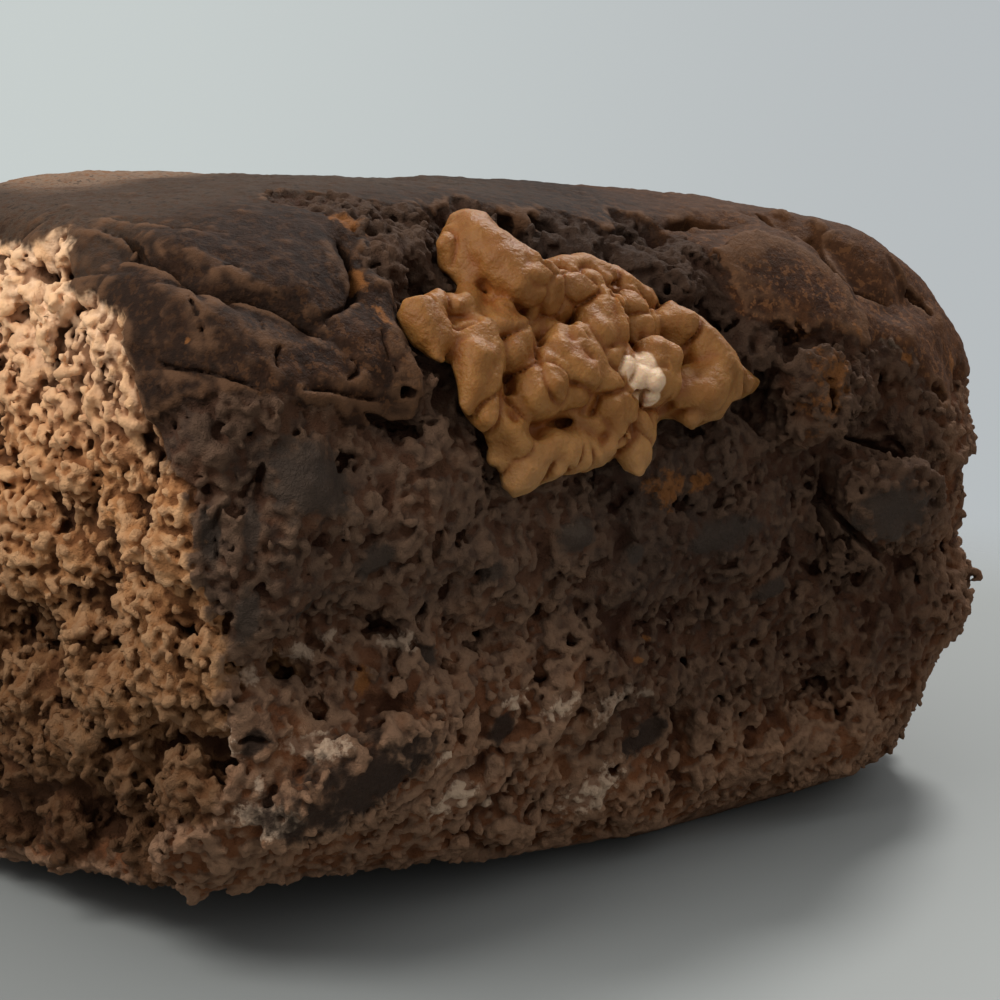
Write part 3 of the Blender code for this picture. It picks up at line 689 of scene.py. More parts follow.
def crumb_ground(nodes, place, given):
    """Ground that the crumbs stand on, how deep it is solid under them, and the skin where there are none.

    Ground and skin are distances to a surface, worked out from the distance to the smooth bar.
    """
    smooth = given["depth"]
    rag = nodes.noise(place, 0.8, 2.5, 0.6) - 0.5
    torn = (given["torn"] + rag * 0.7).rise(-0.3, 0.3)
    crust = crust_share(nodes, place, given["crust"], rag)
    calm = (given["calm"] + rag * 2.6).rise(0.05, 0.4)
    base = given["height"].rise(1.8, 0.7)
    bent = nodes.warped(place, 1.8, 1.0)
    swell = nodes.noise(place, 4.5, 1.0) - 0.5

    gap = nodes.grains(bent, 2.6).rise(0.40, 0.78)
    small_gap = nodes.grains(bent, 1.35).rise(0.40, 0.72)
    hollow = nodes.noise(place, 4.2, 2.0, 0.5).rise(0.49, 0.64)
    low = given["height"].rise(19.0, 14.0)
    torn_ground = smooth + gap * 1.2 + small_gap * 0.45 + hollow * (1.1 + low * 1.1) - 0.45

    pit_field = nodes.noise(nodes.warped(place, 1.2, 0.9), 1.9, 2.0, 0.55)
    pit = (pit_field + rag * 0.12).rise(0.56, 0.64)
    plate = nodes.noise(nodes.warped(place, 1.3, 1.1), 3.2, 2.5, 0.55).rise(0.47, 0.51)
    front_ground = smooth - swell * 0.9 + pit * 0.7 + plate * 0.5 + rag * 0.3 - 0.25
    fused = (nodes.noise(place, 2.6, 2.0, 0.5) + rag * 0.15).rise(0.44, 0.56)

    quiet = smooth - swell * 0.9 + rag * 0.45 + 0.05
    skin = nodes.noise(nodes.scaled(place, 1.0, 1.0, 1.4), 1.3, 3.0, 0.6) - 0.5
    dimple = (nodes.noise(place, 0.75, 1.0) - 0.5) * 0.16
    top = smooth + skin * 0.42 - swell * 0.45 + dimple - 0.25
    bare = nodes.between(crust, quiet, top)
    bare = nodes.between(base, bare, smooth + rag * 0.12 + 0.05)
    return {"ground": nodes.between(torn, front_ground, torn_ground),
            "solid": nodes.between(torn, 0.15 - fused * 0.22, 0.30),
            "bare": bare,
            "covered": nodes.between(torn, crust.highest(calm), 0.0).highest(base),
            "rag": rag}


class Patch:
    """A place on the bar under a box of pixels: its middle, and arrows to its side, its top and inward."""

    def __init__(self, form, left, top, right, bottom):
        px, py = (left + right) / 2, (top + bottom) / 2
        self.middle = seen(px, py)
        out = form.outward(self.middle)
        self.inward = -out
        arrows = []
        for a, b in (((left, py), (right, py)), ((px, bottom), (px, top))):
            way = np.array(sight(*b)) - np.array(sight(*a))
            way = way * np.linalg.norm(self.middle - np.array(EYE)) / 2
            flat = way - out * (way @ out)
            stretch_out = min(np.linalg.norm(way) / max(np.linalg.norm(flat), 1e-6), 2.0)
            arrows.append(flat * stretch_out ** 2)
        self.across, self.upward = arrows
        self.size = min(np.linalg.norm(a) for a in arrows)

    def block(self, form, depth, extra=0.8):
        spread = np.abs(self.across) + np.abs(self.upward) + np.abs(self.inward) * depth + extra
        return form.block(self.middle - spread, self.middle + spread)

    def distance(self, x, y, z, depth):
        """How far out of an egg round the patch a place is, where 0 is its shell and -1 its middle."""
        turn = np.linalg.inv(np.stack([self.across, self.upward, self.inward * depth], 1))
        a, b, c = self.middle
        parts = [row[0] * (x - a) + row[1] * (y - b) + row[2] * (z - c) for row in turn]
        return np.sqrt(parts[0] ** 2 + parts[1] ** 2 + parts[2] ** 2) - 1.0


def add_lump(form, smooth, box, height, soft):
    """Raises a place, blended into what is round it."""
    patch = Patch(smooth, *box)
    slices = patch.block(form, height + 1.0, soft)
    egg = patch.distance(*form.axes(slices), height) * min(patch.size, 1.5)
    form.depth[slices] = melted(egg, form.depth[slices], soft)


def cut_hole(form, rag, smooth, box, depth):
    """Cuts a ragged hole."""
    patch = Patch(smooth, *box)
    slices = patch.block(form, depth)
    egg = patch.distance(*form.axes(slices), depth) * min(patch.size, depth)
    egg = egg + rag[slices] * HOLE_RAG
    form.depth[slices] = np.maximum(form.depth[slices], -egg)


def cut_crack(form, rag, smooth, route, width, depth, sag):
    """Cuts a crack that narrows towards its ends and its bottom. Its upper side may sag towards it."""
    spots = [seen(*p) for p in route]
    lengths = [np.linalg.norm(b - a) for a, b in zip(spots, spots[1:])]
    total, done = sum(lengths), 0.0
    before = form.depth
    form.depth = before.copy() if sag else before
    for a, b, length in zip(spots, spots[1:], lengths):
        inward = -smooth.outward((a + b) / 2)
        slices = form.block(np.minimum(a, b) - depth - 1.4, np.maximum(a, b) + depth + 1.4)
        x, y, z = (line - start for line, start in zip(form.axes(slices), a))
        way = (b - a) / length
        along = np.clip(x * way[0] + y * way[1] + z * way[2], 0.0, length)
        off = [line - along * w for line, w in zip((x, y, z), way)]
        sink = off[0] * inward[0] + off[1] * inward[1] + off[2] * inward[2]
        side = np.sqrt(sum((line - sink * w) ** 2 for line, w in zip(off, inward)))
        share = (done + along) / total
        ends = np.clip(4.0 * np.minimum(share, 1.0 - share) + 0.35, 0.0, 1.0)
        half = width / 2 * ends * np.clip(1.15 - sink / depth, 0.0, 1.15)
        slot = np.maximum(side - half + rag[slices] * (0.16 + 0.3 * min(width, 0.6)), sink - depth * ends)
        if sag:
            across = np.cross(way, inward)
            across = across * np.sign(across[2] or 1.0)
            upper = sum(line * w for line, w in zip(off, across)) + rag[slices] * 0.4
            fall = smoothstep(-0.12, 0.10, upper) * np.exp(-np.maximum(upper, 0.0) / 0.7) * ends
            sagged = before[slices] + sag * fall * np.exp(-(side / 1.6) ** 2)
            form.depth[slices] = np.maximum(form.depth[slices], sagged)
        form.depth[slices] = np.maximum(form.depth[slices], -slot)
        done += length


def spread_over(places, patches, depth):
    """Greatest of 1 in the middle of each patch, falling to 0 at its rim and below outside."""
    x, y, z = places.T
    best = np.full(len(places), -1.0, np.float32)
    for patch in patches:
        best = np.maximum(best, -patch.distance(x, y, z, depth))
    return best


def patch_grid(form, smooth, boxes, depth=2.5):
    """The same over a form's grid."""
    best = np.full(form.depth.shape, -1.0, np.float32)
    for box in boxes:
        patch = Patch(smooth, *box)
        slices = patch.block(form, depth * 2)
        best[slices] = np.maximum(best[slices], -patch.distance(*form.axes(slices), depth))
    return best


def melted(first, second, soft):
    """Union of two distance grids, melted together where they meet."""
    share = np.clip(0.5 + 0.5 * (second - first) / soft, 0.0, 1.0)
    return second + (first - second) * share - soft * share * (1.0 - share)


def scattered(form, spacing):
    """Places scattered through a form's grid, about spacing apart."""
    counts = np.ceil((np.array(form.depth.shape) - 1) * form.cell / spacing).astype(int)
    spots = np.indices(counts).reshape(3, -1).T + CHANCE.random((counts.prod(), 3))
    return form.low + spots * spacing


def heap_of_balls(form, middles, radii, soft, tints=None):
    """Distances to a heap of balls that melt into each other a little, and the tint of the nearest one."""
    reach = int(np.ceil((radii.max() + 3.0 * soft) / form.cell))
    steps = np.arange(-reach, reach + 1)
    steps = np.stack(np.meshgrid(steps, steps, steps, indexing="ij"), -1).reshape(-1, 3)
    steps = steps[np.linalg.norm(steps, axis=1) <= reach + 0.5]
    shape = np.array(form.depth.shape)
    at = (middles - form.low) / form.cell
    total = np.zeros(form.depth.size, np.float32)
    tinted = None if tints is None else np.zeros(form.depth.size, np.float32)
    for start in range(0, len(at), BALLS_AT_ONCE):
        stop = start + BALLS_AT_ONCE
        some = at[start:stop, None]
        cells = np.clip(np.round(some).astype(int) + steps, 0, shape - 1)
        gap = np.linalg.norm(cells - some, axis=2) * form.cell - radii[start:stop, None]
        flat = (cells[..., 0] * shape[1] + cells[..., 1]) * shape[2] + cells[..., 2]
        weight = np.exp(-gap / soft).astype(np.float32)
        np.add.at(total, flat.ravel(), weight.ravel())
        if tints is not None:
            weight *= tints[start:stop, None]
            np.add.at(tinted, flat.ravel(), weight.ravel())
    heap = (-soft * np.log(np.maximum(total, 1e-9))).reshape(form.depth.shape)
    return heap if tints is None else (heap, (tinted / np.maximum(total, 1e-9)).reshape(form.depth.shape))


def crumb_balls(ground, covered, torn):
    """Middles and radii of the crumbs, which stand close together on the torn face and looser elsewhere."""
    middles, radii = [], []
    for spacing, least, most, torn_share, front_share, sink in CRUMBS:
        spots = scattered(ground, spacing)
        level = sampled(ground.depth, ground, spots)
        chance = CHANCE.random(len(spots))
        share = np.where(sampled(torn, ground, spots) > 0.0, torn_share, front_share)
        keep = (level < -sink) & (level > -sink - spacing * 1.2) & (chance < share)
        keep &= sampled(covered, ground, spots) < 0.6
        middles.append(spots[keep])
        radii.append(least + (most - least) * CHANCE.random(keep.sum()))
    return np.concatenate(middles), np.concatenate(radii)


def roughened(form, plain, torn, crust, calm):
    """The bar with its holes and crumb on a finer grid, and grids of ragged noise and of crumb tints."""
    height = np.broadcast_to(form.axes()[2], form.depth.shape)
    reach = 1.6 + 2.2 * smoothstep(-1.5, 0.5, torn) + 0.8 * smoothstep(0.5, -0.5, crust)
    near = np.flatnonzero((form.depth < 1.0) & (form.depth > -reach))
    grids = {"depth": form.depth, "torn": torn, "crust": crust, "calm": calm, "height": height}
    given = {name: values.ravel()[near] for name, values in grids.items()}
    made = values_at(form.places(near), given, crumb_ground)
    elsewhere = {"ground": form.depth, "bare": form.depth, "solid": 0.3, "covered": 0.0, "rag": 0.0}
    fine = {}
    for name, values in made.items():
        grid = np.empty(form.depth.shape, np.float32)
        grid[...] = elsewhere[name]
        grid.ravel()[near] = values
        fine[name] = form.refined(grid, CRUMB_CELL)
    rough = Form(form.low, CRUMB_CELL, fine["ground"])
    skin = Form(form.low, CRUMB_CELL, fine["bare"])
    for left, top, right, bottom, depth in HOLES:
        cut_hole(rough, fine["rag"], plain, (left, top, right, bottom), depth)
        cut_hole(skin, fine["rag"], plain, (left, top, right, bottom), depth)
    middles, radii = crumb_balls(rough, fine["covered"], form.refined(torn, CRUMB_CELL))
    heap, tint = heap_of_balls(rough, middles, radii, CRUMB_SOFT, CHANCE.random(len(radii)))
    crumb = melted(heap, rough.depth + fine["solid"], GROUND_SOFT)
    rough.depth = crumb + (skin.depth - crumb) * fine["covered"]
    grain = blurred(CHANCE.standard_normal(rough.depth.shape, dtype=np.float32), GRAIN_CELLS)
    rough.depth += grain * (1.0 - GRAIN_SMOOTHED * fine["covered"]) * GRAIN
    return rough, fine["rag"], tint


def largest_part(corners, faces):
    """Keeps the biggest connected part of a mesh."""
    label = np.arange(len(corners))
    while True:
        lowest = label[faces].min(1)
        before = label.copy()
        for column in range(faces.shape[1]):
            np.minimum.at(label, faces[:, column], lowest)
        label = label[label]
        if np.array_equal(label, before):
            break
    keep = label == np.bincount(label).argmax()
    number = np.cumsum(keep) - 1
    faces = number[faces[keep[faces[:, 0]]]]
    return corners[keep], faces


def new_mesh(name, corners, faces):
    """A smooth-shaded object from arrays in millimetres."""
    mesh = bpy.data.meshes.new(name)
    width = faces.shape[1]
    mesh.vertices.add(len(corners))
    mesh.vertices.foreach_set("co", (corners * MM).astype(np.float32).ravel())
    mesh.loops.add(faces.size)
    mesh.loops.foreach_set("vertex_index", faces.astype(np.int32).ravel())
    mesh.polygons.add(len(faces))
    mesh.polygons.foreach_set("loop_start", np.arange(len(faces), dtype=np.int32) * width)
    mesh.update(calc_edges=True)
    obj = bpy.data.objects.new(name, mesh)
    bpy.context.scene.collection.objects.link(obj)
    return obj


def thin_out(obj, triangles, plain):
    """Brings a mesh down to that many triangles, and thins it harder at the corners that are plain."""
    group = obj.vertex_groups.new(name="plain")
    group.add(np.flatnonzero(plain).tolist(), 1.0, "REPLACE")
    group.add(np.flatnonzero(~plain).tolist(), 0.5, "REPLACE")
    thinner = obj.modifiers.new("thin out", "DECIMATE")
    thinner.ratio = min(1.0, triangles / (2 * len(obj.data.polygons)))
    thinner.vertex_group = group.name
    thinner.vertex_group_factor = LENGTH_COST
    thinner.use_collapse_triangulate = True
    bpy.context.view_layer.objects.active = obj
    bpy.ops.object.modifier_apply(modifier=thinner.name)
    obj.vertex_groups.clear()


def corner_array(mesh):
    corners = np.empty(len(mesh.vertices) * 3, np.float32)
    mesh.vertices.foreach_get("co", corners)
    return corners.reshape(-1, 3)


def keep_values(mesh, **masks):
    """Stores numbers on the corners of a mesh, for its material."""
    for name, values in masks.items():
        store = mesh.attributes.new(name, "FLOAT", "POINT")
        store.data.foreach_set("value", values.astype(np.float32))


def sampled(grid, form, corners, skip=1):
    """Values of a form's grid, or of every few cells of it, between its cells at places."""
    at = np.clip((corners - form.low) / (form.cell * skip), 0.0, np.array(grid.shape) - 1.001)
    low = at.astype(int)
    share = (at - low).astype(np.float32)
    total = 0.0
    for step in np.ndindex(2, 2, 2):
        weight = np.prod(np.where(step, share, 1.0 - share), axis=1)
        total = total + weight * grid[tuple((low + step).T)]
    return total


def clear_of(form, other, gap):
    """Takes what another form fills, and a gap round it, out of a form."""
    size = np.array(other.depth.shape) * other.cell
    slices = form.block(other.low, other.low + size)
    lines = form.axes(slices)
    places = np.stack(np.broadcast_arrays(*lines), -1).reshape(-1, 3)
    filled = sampled(other.depth, other, places).reshape(form.depth[slices].shape)
    form.depth[slices] = np.maximum(form.depth[slices], gap - filled)


def make_bar(dollop):
    """The bar of crumb with its crust and torn face, and room for the peanut butter."""
    plain = Form.of_node("brownie", FORM_CELL, FORM_BLUR, FORM_REACH, FORM_MARGIN)
    shaped = Form(plain.low, plain.cell, plain.depth.copy())
    torn = Border(TORN_EDGE, TORN_FAR_EDGE).grid(plain)
    crust = Border(CRUST_EDGE, CRUST_FAR_EDGE).grid(plain)
    for left, top, right, bottom, height, soft in LUMPS:
        add_lump(shaped, plain, (left, top, right, bottom), height, soft)
    form, rag, tint = roughened(shaped, plain, torn, crust, patch_grid(shaped, plain, CALM))
    for route, width, depth, sag in CRACKS:
        cut_crack(form, rag, plain, route, width, depth, sag)
    clear_of(form, dollop, NEST_GAP)
    corners, faces = largest_part(*form.mesh())
    bar = new_mesh("brownie_crumb", corners, faces)
    # The back and the base are thinned harder
    x, y, z = corners.T
    plain_side = ((y > 0.0) & (x > -22.0) & (z < 26.0)) | (z < 0.8)
    thin_out(bar, BAR_TRIANGLES, plain_side)
    bar.data.shade_smooth()
    corners = corner_array(bar.data) / MM
    # How sunken each place is, finely and broadly, for the painted shade in hollows and highlights on crests
    hollow = -blurred(form.depth, 0.35 / form.cell)
    wide_hollow = -blurred(form.depth[::3, ::3, ::3], 0.3 / form.cell)
    masks = {"torn": sampled(torn, plain, corners), "crust": sampled(crust, plain, corners),
             "tint": sampled(tint, form, corners), "hollow": sampled(hollow, form, corners),
             "wide_hollow": sampled(wide_hollow, form, corners, 3)}
    for name, boxes, depth in (("calm", CALM, 2.5), ("pale", PALE, 2.5), ("warm", WARM, 1.5)):
        masks[name] = spread_over(corners, [Patch(plain, *box) for box in boxes], depth)
    keep_values(bar.data, **masks)
    return bar


def spread_relief(nodes, place, given):
    """Distances to the uneven peanut butter."""
    swell = nodes.noise(place, 1.7, 1.0) - 0.5
    fine = nodes.noise(place, 0.7, 3.0, 0.6) - 0.5
    seam = given["seam"] * nodes.noise(place, 2.2, 1.0).rise(0.34, 0.58)
    return {"made": given["depth"] - swell * 0.45 - fine * 0.16 + seam * SEAM_DEPTH}


def balls_along(chain, sink=LOBE_SINK):
    """Middles and radii of balls along a chain of pixels on the peanut butter, in millimetres."""
    made = []
    for px, py, radius in chain:
        place = seen(px, py, "peanut_butter")
        place = seen(px, py) if place is None else place
        radius = radius * PIXEL * np.linalg.norm(place - np.array(EYE))
        made.append((place + np.array(sight(px, py)) * radius * sink, radius))
    filled = made[:1]
    for (a, ra), (b, rb) in zip(made, made[1:]):
        steps = max(1, int(np.ceil(np.linalg.norm(b - a) / (0.35 * min(ra, rb)))))
        filled += [(a + (b - a) * i / steps, ra + (rb - ra) * i / steps) for i in range(1, steps + 1)]
    return filled


def inside_outline(px, py, outline):
    """Which pixels are inside an outline of pixels."""
    inside = np.zeros(px.shape, bool)
    for (ax, ay), (bx, by) in zip(outline, outline[1:] + outline[:1]):
        crosses = (ay > py) != (by > py)
        inside ^= crosses & (px < ax + (bx - ax) * (py - ay) / ((by - ay) or 1e-9))
    return inside


def on_picture(x, y, z):
    """Pixels of the photograph at which places show."""
    off = [line - e for line, e in zip((x, y, z), EYE)]
    across, upward, deep = (sum(line * w for line, w in zip(off, way)) for way in (RIGHT, UP, -BACK))
    return HALF_FRAME + across / deep / PIXEL, HALF_FRAME - upward / deep / PIXEL


def off_route(px, py, route):
    """How many pixels places are from a route of pixels."""
    nearest = np.full(px.shape, 1e9, np.float32)
    for (ax, ay), (bx, by) in zip(route, route[1:]):
        share = ((px - ax) * (bx - ax) + (py - ay) * (by - ay)) / ((bx - ax) ** 2 + (by - ay) ** 2)
        share = np.clip(share, 0.0, 1.0)
        nearest = np.minimum(nearest, np.hypot(px - ax - (bx - ax) * share, py - ay - (by - ay) * share))
    return nearest


def spread_bed():
    """Balls that fill the peanut butter's outline in the photograph, and close the gaps of the CAD solid."""
    left, right, top, bottom = BED_FRAME
    px, py = np.meshgrid(np.arange(left, right, BED_STEP), np.arange(top, bottom, BED_STEP))
    px, py = px.ravel(), py.ravel()
    keep = inside_outline(px, py, BED_OUTLINE)
    for dx, dy in ((-BED_INSET, 0), (BED_INSET, 0), (0, -BED_INSET), (0, BED_INSET)):
        keep &= inside_outline(px + dx, py + dy, BED_OUTLINE)
    balls = []
    for x, y in zip(px[keep], py[keep]):
        place, sink = seen(x, y, "peanut_butter"), BED_BALL + 0.15
        if place is None:
            place, sink = seen(x, y), BED_BALL - 0.35
        balls.append(place + np.array(sight(x, y)) * sink)
    return np.array(balls), np.full(len(balls), BED_BALL)


def shape_spread():
    """The form of the dollop of peanut butter: round lobes with seams between them, on a bed."""
    form = Form.of_node("peanut_butter", *SPREAD_FORM).finer(SPREAD_CELL)
    form.depth = melted(heap_of_balls(form, *spread_bed(), BED_BALLS_SOFT), form.depth, SPREAD_SOFT)
    nearest = np.full(form.depth.shape, 9.0, np.float32)
    second = nearest.copy()
    more = [balls_along(chain, 0.0) for chain in NUGGET] + [balls_along(chain, NUB_SINK) for chain in NUBS]
    for balls in [balls_along(chain) for chain in LOBES] + more:
        middles, radii = (np.array(values) for values in zip(*balls))
        reach = radii.max() + 0.6
        slices = form.block(middles.min(0) - reach, middles.max(0) + reach)
        lines = form.axes(slices)
        lobe = np.full(nearest[slices].shape, 9.0, np.float32)
        for middle, radius in balls:
            lobe = np.minimum(lobe, np.sqrt(sum((line - m) ** 2 for line, m in zip(lines, middle))) - radius)
        form.depth[slices] = melted(lobe, form.depth[slices], SPREAD_SOFT)
        second[slices] = np.minimum(second[slices], np.maximum(nearest[slices], lobe))
        nearest[slices] = np.minimum(nearest[slices], lobe)
    px, py = on_picture(*form.axes())
    for route, half, depth in VALLEYS:
        form.depth += depth * np.exp(-(off_route(px, py, route) / half) ** 2)
    outside = off_route(px, py, BED_OUTLINE + BED_OUTLINE[:1])
    outside = outside * np.where(inside_outline(px, py, BED_OUTLINE), -1, 1)
    form.depth = -melted(-PIXEL_SPAN * (outside - OUTLINE_ROOM), -form.depth, SPREAD_SOFT)
    seam = np.clip(1.0 - (second - nearest) / SEAM_WIDTH, 0.0, 1.0) ** 2
    near = np.flatnonzero(np.abs(form.depth) < 0.8)
    given = {"depth": form.depth.ravel()[near], "seam": seam.ravel()[near]}
    form.depth.ravel()[near] = values_at(form.places(near), given, spread_relief)["made"]
    return form


def make_spread(form):
    """The dollop's mesh, with the places of its seams and of its pale nugget."""
    corners, faces = largest_part(*form.mesh())
    spread = new_mesh("peanut_butter_dollop", corners, faces)
    spread.data.shade_smooth()
    nut = np.full(len(corners), -1.0, np.float32)
    for chain in NUGGET:
        for middle, radius in balls_along(chain, 0.0):
            nut = np.maximum(nut, 1.45 - np.linalg.norm(corners - middle, axis=1) / radius)
    # How sunken each place is, for the painted shade in the seams and highlights on the crests
    seam = sampled(-blurred(form.depth, 0.3 / form.cell), form, corners)
    keep_values(spread.data, nut=nut, seam=seam)
    return spread


def new_material(name):
    """An empty material, its node tree, and the place on the object in millimetres."""
    material = bpy.data.materials.new(name)
    material.use_nodes = True
    material.node_tree.nodes.clear()
    nodes = Nodes(material.node_tree)
    place = nodes.add("ShaderNodeTexCoord", out="Object")
    place = nodes.add("ShaderNodeVectorMath", {0: place, 3: 1.0 / MM}, operation="SCALE")
    return material, nodes, place


def stored(nodes, name):
    """A number kept on the mesh."""
    return nodes.add("ShaderNodeAttribute", out="Fac", attribute_name=name)


def finish_material(nodes, sockets):
    shader = nodes.add("ShaderNodeBsdfPrincipled", sockets)
    nodes.add("ShaderNodeOutputMaterial", {"Surface": shader})


def crumb_material():
    """Dark crumb, browned crust and the lighter crumb of the torn face, with painted shade and highlights."""
    material, nodes, place = new_material("baked crumb")
    rag = nodes.noise(place, 0.8, 2.5, 0.6) - 0.5
    fine_rag = nodes.noise(place, 0.25, 2.0, 0.6) - 0.5
    torn_side = stored(nodes, "torn")
    torn = (torn_side + rag * 1.4).rise(-0.35, 0.25)
    inside = stored(nodes, "crust")
    crust = crust_share(nodes, place, inside, rag)
    calm = (stored(nodes, "calm") + rag * 1.3).rise(-0.1, 0.4)
    pale = (stored(nodes, "pale") + rag * 1.8 + fine_rag * 1.2).rise(0.0, 0.5)
    warm = (stored(nodes, "warm") + rag * 1.6 + fine_rag).rise(0.0, 0.6)
    hollow = stored(nodes, "hollow")
    wide_hollow = stored(nodes, "wide_hollow")
    height = nodes.part(place, "Z")
    along_bar = nodes.part(place, "X")
    right = along_bar.rise(4.0, 26.0)
    far_right = along_bar.rise(-10.0, -4.0) * along_bar.rise(23.0, 17.0) * height.rise(5.0, 10.0)
    middle = along_bar.rise(-27.0, -21.0) * along_bar.rise(-5.0, -10.0)
    low = height.rise(14.0, 6.0)
    near_torn = torn_side.rise(-9.0, -2.0) * height.rise(10.0, 20.0)
    # Painted sheen on the far top of the crust
    far_top_sheen = nodes.part(place, "Y").rise(-14.0, -5.0) * height.rise(29.0, 33.0)
    far_top_sheen = far_top_sheen * along_bar.rise(6.0, -8.0)
    near_top = torn_side.rise(-4.5, -7.0) * height.rise(32.0, 29.0) * along_bar.rise(0.0, -8.0)
    tint = stored(nodes, "tint")
    mottle = nodes.noise(place, 1.2, 3.0, 0.65)
    wide = nodes.noise(place, 6.0, 1.0)
    patchy = nodes.noise(place, 2.2, 2.0, 0.6)

    crumb = nodes.layered(
        nodes.blend(mottle.rise(0.40, 0.60), CRUMB_DARK, CRUMB_BROWN),
        (patchy.rise(0.50, 0.66) * 0.7, CRUMB_RUSTY),
        # Painted light bounced off the table, lighter towards the bottom
        (low * 0.3, CRUMB_LOW_BOUNCE_LIGHT),
        (middle * 0.2, CRUMB_MIDDLE),
        (tint.rise(0.45, 1.0) * 0.6, GRAIN_LIGHT),
        (tint.rise(0.45, 0.0) * 0.6, GRAIN_DARK),
        # Painted highlight on the crests of the grains
        (hollow.rise(0.0, -0.10) * 0.5, PAINTED_CREST_HIGHLIGHT),
        (pale * 0.8, CRUMB_PALE),
        # Painted shade in the small hollows between the grains
        (hollow.rise(0.0, 0.08) * 0.65, PAINTED_PIT_SHADE),
        (height.rise(24.0, 30.0) * 0.65, CRUMB_UNDER_CRUST),
        (right * 0.4, CRUMB_RIGHT),
        (far_right * 0.6, CRUMB_FAR_RIGHT),
        (near_torn * 0.62, CRUMB_BY_TORN),
        (calm * 0.85, CRUMB_CALM),
        (calm * height.rise(17.0, 12.0) * 0.85, CRUMB_CALM_LOW),
        # Painted shade deep in the holes and broad hollows
        (wide_hollow.rise(0.08, 0.50) * 0.8, PAINTED_HOLE_SHADE))

    flecks = nodes.noise(place, 0.42, 2.0, 0.65)
    skin = nodes.layered(
        nodes.blend(mottle.rise(0.35, 0.68), CRUST_DARK, CRUST_BROWN),
        (far_top_sheen * 0.85, PAINTED_CRUST_SHEEN),
        (near_top * 0.4, CRUST_NEAR_TOP),
        (flecks.rise(0.52, 0.62) * 0.75, CRUST_LIGHT_FLECKS),
        (flecks.rise(0.44, 0.34) * 0.6, CRUST_DARK_FLECKS),
        (patchy.rise(0.54, 0.70) * 0.5, CRUST_RUSTY),
        (right * 0.45, CRUST_RIGHT),
        (along_bar.rise(0.0, 8.0) * height.rise(31.0, 34.0) * 0.6, CRUST_PEAK),
        (torn_side.rise(-6.5, -3.5) * 0.8, CRUST_BY_TORN),
        # Painted highlight along the raised rims of the crust
        (hollow.rise(-0.03, -0.12) * 0.6, CRUST_RIDGE_HIGHLIGHT))

    inner = nodes.layered(
        nodes.blend(wide.rise(0.35, 0.65), TORN_TAN, TORN_BROWN),
        # Lighter at the top and darker low down: partly the crumb's own tone, partly painted light and shade
        (height.rise(24.0, 33.0) * 0.75, TORN_TOP_TONE_AND_LIGHT),
        (tint.rise(0.45, 1.0) * 0.6, TORN_GRAIN_LIGHT),
        (tint.rise(0.40, 0.0) * 0.6, TORN_GRAIN_DARK),
        # Painted highlight on the crests, then painted shade in the hollows and holes
        (hollow.rise(-0.02, -0.14) * 0.5, TORN_CREST_HIGHLIGHT),
        (hollow.rise(0.0, 0.10) * 0.8, TORN_PIT_SHADE),
        (wide_hollow.rise(0.08, 0.45) * 0.9, TORN_HOLE_SHADE),
        (height.rise(30.0, 4.0) * 0.93, TORN_LOW_TONE_AND_SHADE))

    # Last, orange marks and a painted warm highlight on the right end's rim
    colour = nodes.layered(crumb, (crust, skin), (torn, inner), (warm * 0.8, WARM_MARKS_AND_RIM_HIGHLIGHT))
    grit = nodes.noise(place, 0.24, 3.0, 0.75)
    grit = grit * nodes.between(inside.rise(-0.3, 0.3), 1.0, 0.45)
    bump = nodes.add("ShaderNodeBump", {"Height": grit, "Distance": CRUMB_BUMP, "Strength": 1.0})
    rough = nodes.between(crust, 0.82, 0.74) - calm * 0.2
    finish_material(nodes, {"Base Color": colour, "Roughness": rough, "Normal": bump,
                            "Specular IOR Level": 0.09})
    return material


def spread_material():
    """Peanut butter: waxy, a little see-through, with painted shade in its seams and painted highlights on
    its crests.
    """
    material, nodes, place = new_material("peanut butter")
    seam = stored(nodes, "seam")
    nut = (stored(nodes, "nut") + (nodes.noise(place, 0.5, 2.0) - 0.5) * 0.4).rise(0.0, 0.25)
    mottle = nodes.noise(place, 1.3, 3.0, 0.6)
    height = nodes.part(place, "Z")
    low = height.rise(27.0, 22.0)
    right = nodes.part(place, "X").rise(-3.0, 3.0)
    # Pale nugget, with painted shade in its seams
    kernel = nodes.blend(seam.rise(-0.05, 0.14), NUGGET_PALE, NUGGET_SEAM_SHADE)
    colour = nodes.layered(
        nodes.blend(mottle.rise(0.35, 0.68), SPREAD_BROWN, SPREAD_TAN),
        # Painted highlight on the crests of the lobes
        (seam.rise(-0.06, -0.20) * 0.5, SPREAD_CREST_HIGHLIGHT),
        # Painted light low down
        (low * 0.42, SPREAD_LOW_PAINTED_LIGHT),
        # Painted shade on the right side and on the top
        (right * 0.35, SPREAD_RIGHT_PAINTED_SHADE),
        (height.rise(26.0, 33.0) * 0.3, SPREAD_TOP_PAINTED_SHADE),
        # Painted shade in the seams between the lobes
        (seam.rise(-0.05, 0.09) * 0.9, SPREAD_SEAM_SHADE),
        (seam.rise(0.12, 0.34) * 0.85, SPREAD_DEEP_SEAM_SHADE),
        (nut, kernel))
    grit = nodes.noise(place, 0.25, 2.0, 0.6) + nodes.noise(place, 0.8, 1.0) * 0.6
    bump = nodes.add("ShaderNodeBump", {"Height": grit, "Distance": SPREAD_BUMP, "Strength": 1.0})
    rough = 0.48 + mottle * 0.2
    finish_material(nodes, {"Base Color": colour, "Roughness": rough, "Normal": bump,
                            "Specular IOR Level": 0.3, "Subsurface Weight": 0.30,
                            "Subsurface Radius": (1.0, 0.4, 0.1), "Subsurface Scale": 0.0008})
    return material


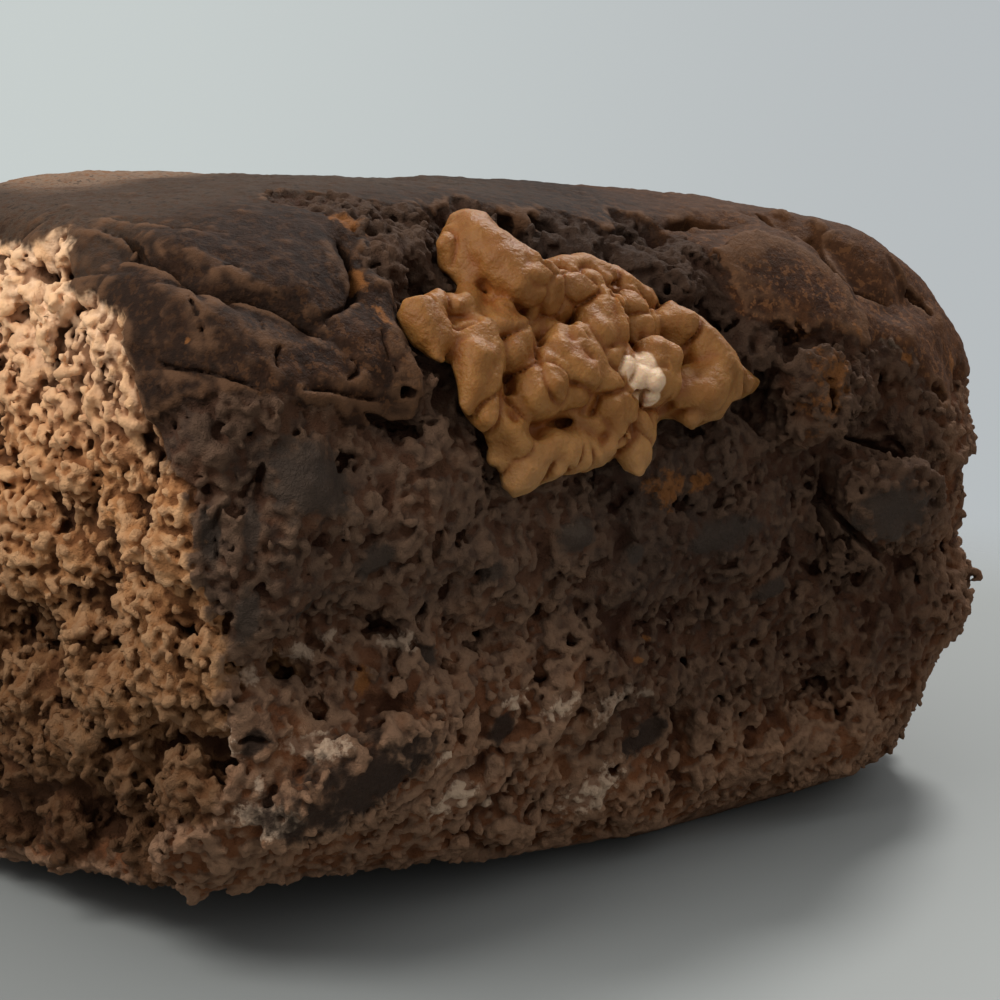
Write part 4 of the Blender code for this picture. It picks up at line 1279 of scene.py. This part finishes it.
def table_material():
    """Pale floor that fades out into the backdrop."""
    material, nodes, place = new_material("pale table")
    far = nodes.add("ShaderNodeVectorMath", {0: place}, out="Value", operation="LENGTH")
    far = far.rise(*FLOOR_FADES)
    sockets = {"Base Color": FLOOR_GREY, "Roughness": 0.5, "Specular IOR Level": 0.25}
    shader = nodes.add("ShaderNodeBsdfPrincipled", sockets)
    clear = nodes.add("ShaderNodeBsdfTransparent")
    shader = nodes.add("ShaderNodeMixShader", {0: far, 1: shader, 2: clear})
    nodes.add("ShaderNodeOutputMaterial", {"Surface": shader})
    return material


def add_table():
    bpy.ops.mesh.primitive_circle_add(vertices=96, radius=FLOOR_RADIUS, fill_type="NGON")
    table = bpy.context.object
    table.name = "table"
    table.data.materials.append(table_material())


def add_lamp(name, toward, distance, size, power, colour):
    """Area lamp that stands in a direction from the bar and faces it. Distance and size in millimetres."""
    lamp = bpy.data.lights.new(name, "AREA")
    lamp.shape = "DISK"
    lamp.size = size * MM
    lamp.energy = power
    lamp.color = colour
    obj = bpy.data.objects.new(name, lamp)
    bpy.context.scene.collection.objects.link(obj)
    way = Vector(toward).normalized()
    obj.location = (Vector((0, 0, 15.0)) + way * distance) * MM
    obj.rotation_mode = "QUATERNION"
    obj.rotation_quaternion = way.to_track_quat("Z", "Y")
    obj.visible_camera = False


def add_light():
    """Plain pale backdrop, soft light that is brighter behind and in front, and two lamps."""
    world = bpy.data.worlds.new("room light")
    bpy.context.scene.world = world
    world.use_nodes = True
    world.node_tree.nodes.clear()
    nodes = Nodes(world.node_tree)
    way = nodes.add("ShaderNodeTexCoord", out="Generated")

    def along(direction):
        return nodes.add("ShaderNodeVectorMath", {0: way, 1: direction}, out="Value", operation="DOT_PRODUCT")

    left = along(tuple(-RIGHT)).rise(-0.2, 0.2)
    wall = nodes.blend(left, BACKDROP_RIGHT, BACKDROP_LEFT)
    seen_back = nodes.add("ShaderNodeBackground", {"Color": wall, "Strength": 1.0})
    behind = along(tuple(Vector((0.1, 0.75, 0.5)).normalized())).rise(-0.5, 0.9)
    before = along(tuple(Vector((-0.10, -0.85, 0.50)).normalized())).rise(0.0, 0.95)
    strength = behind * 0.62 + before * 0.84 + 0.12
    light_back = nodes.add("ShaderNodeBackground", {"Color": SOFT_LIGHT, "Strength": strength})
    camera_ray = nodes.add("ShaderNodeLightPath", out="Is Camera Ray")
    both = nodes.add("ShaderNodeMixShader", {0: camera_ray, 1: light_back, 2: seen_back})
    nodes.add("ShaderNodeOutputWorld", {"Surface": both})
    add_lamp("window", toward=(0.84, 0.36, 1.05), distance=500, size=130, power=1.8,
             colour=(1.0, 0.98, 0.95))
    add_lamp("left window", toward=(-0.88, -0.10, 0.74), distance=110, size=60, power=0.058,
             colour=(1.0, 0.97, 0.93))


def add_camera():
    data = bpy.data.cameras.new("camera")
    data.sensor_width = SENSOR_WIDTH
    data.lens = SENSOR_WIDTH / 2 / math.tan(math.radians(VIEW_ANGLE / 2))
    data.clip_start = 0.005
    data.clip_end = 10.0
    camera = bpy.data.objects.new("camera", data)
    bpy.context.scene.collection.objects.link(camera)
    camera.location = EYE * MM
    camera.rotation_mode = "QUATERNION"
    camera.rotation_quaternion = BACK.to_track_quat("Z", "Y")
    bpy.context.scene.camera = camera


bpy.context.scene.view_settings.view_transform = "Standard"
dollop = shape_spread()
bar = make_bar(dollop)
bar.data.materials.append(crumb_material())
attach(bar, "root")
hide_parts("brownie")
spread = make_spread(dollop)
spread.data.materials.append(spread_material())
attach(spread, "root")
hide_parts("peanut_butter")
add_table()
add_light()
add_camera()
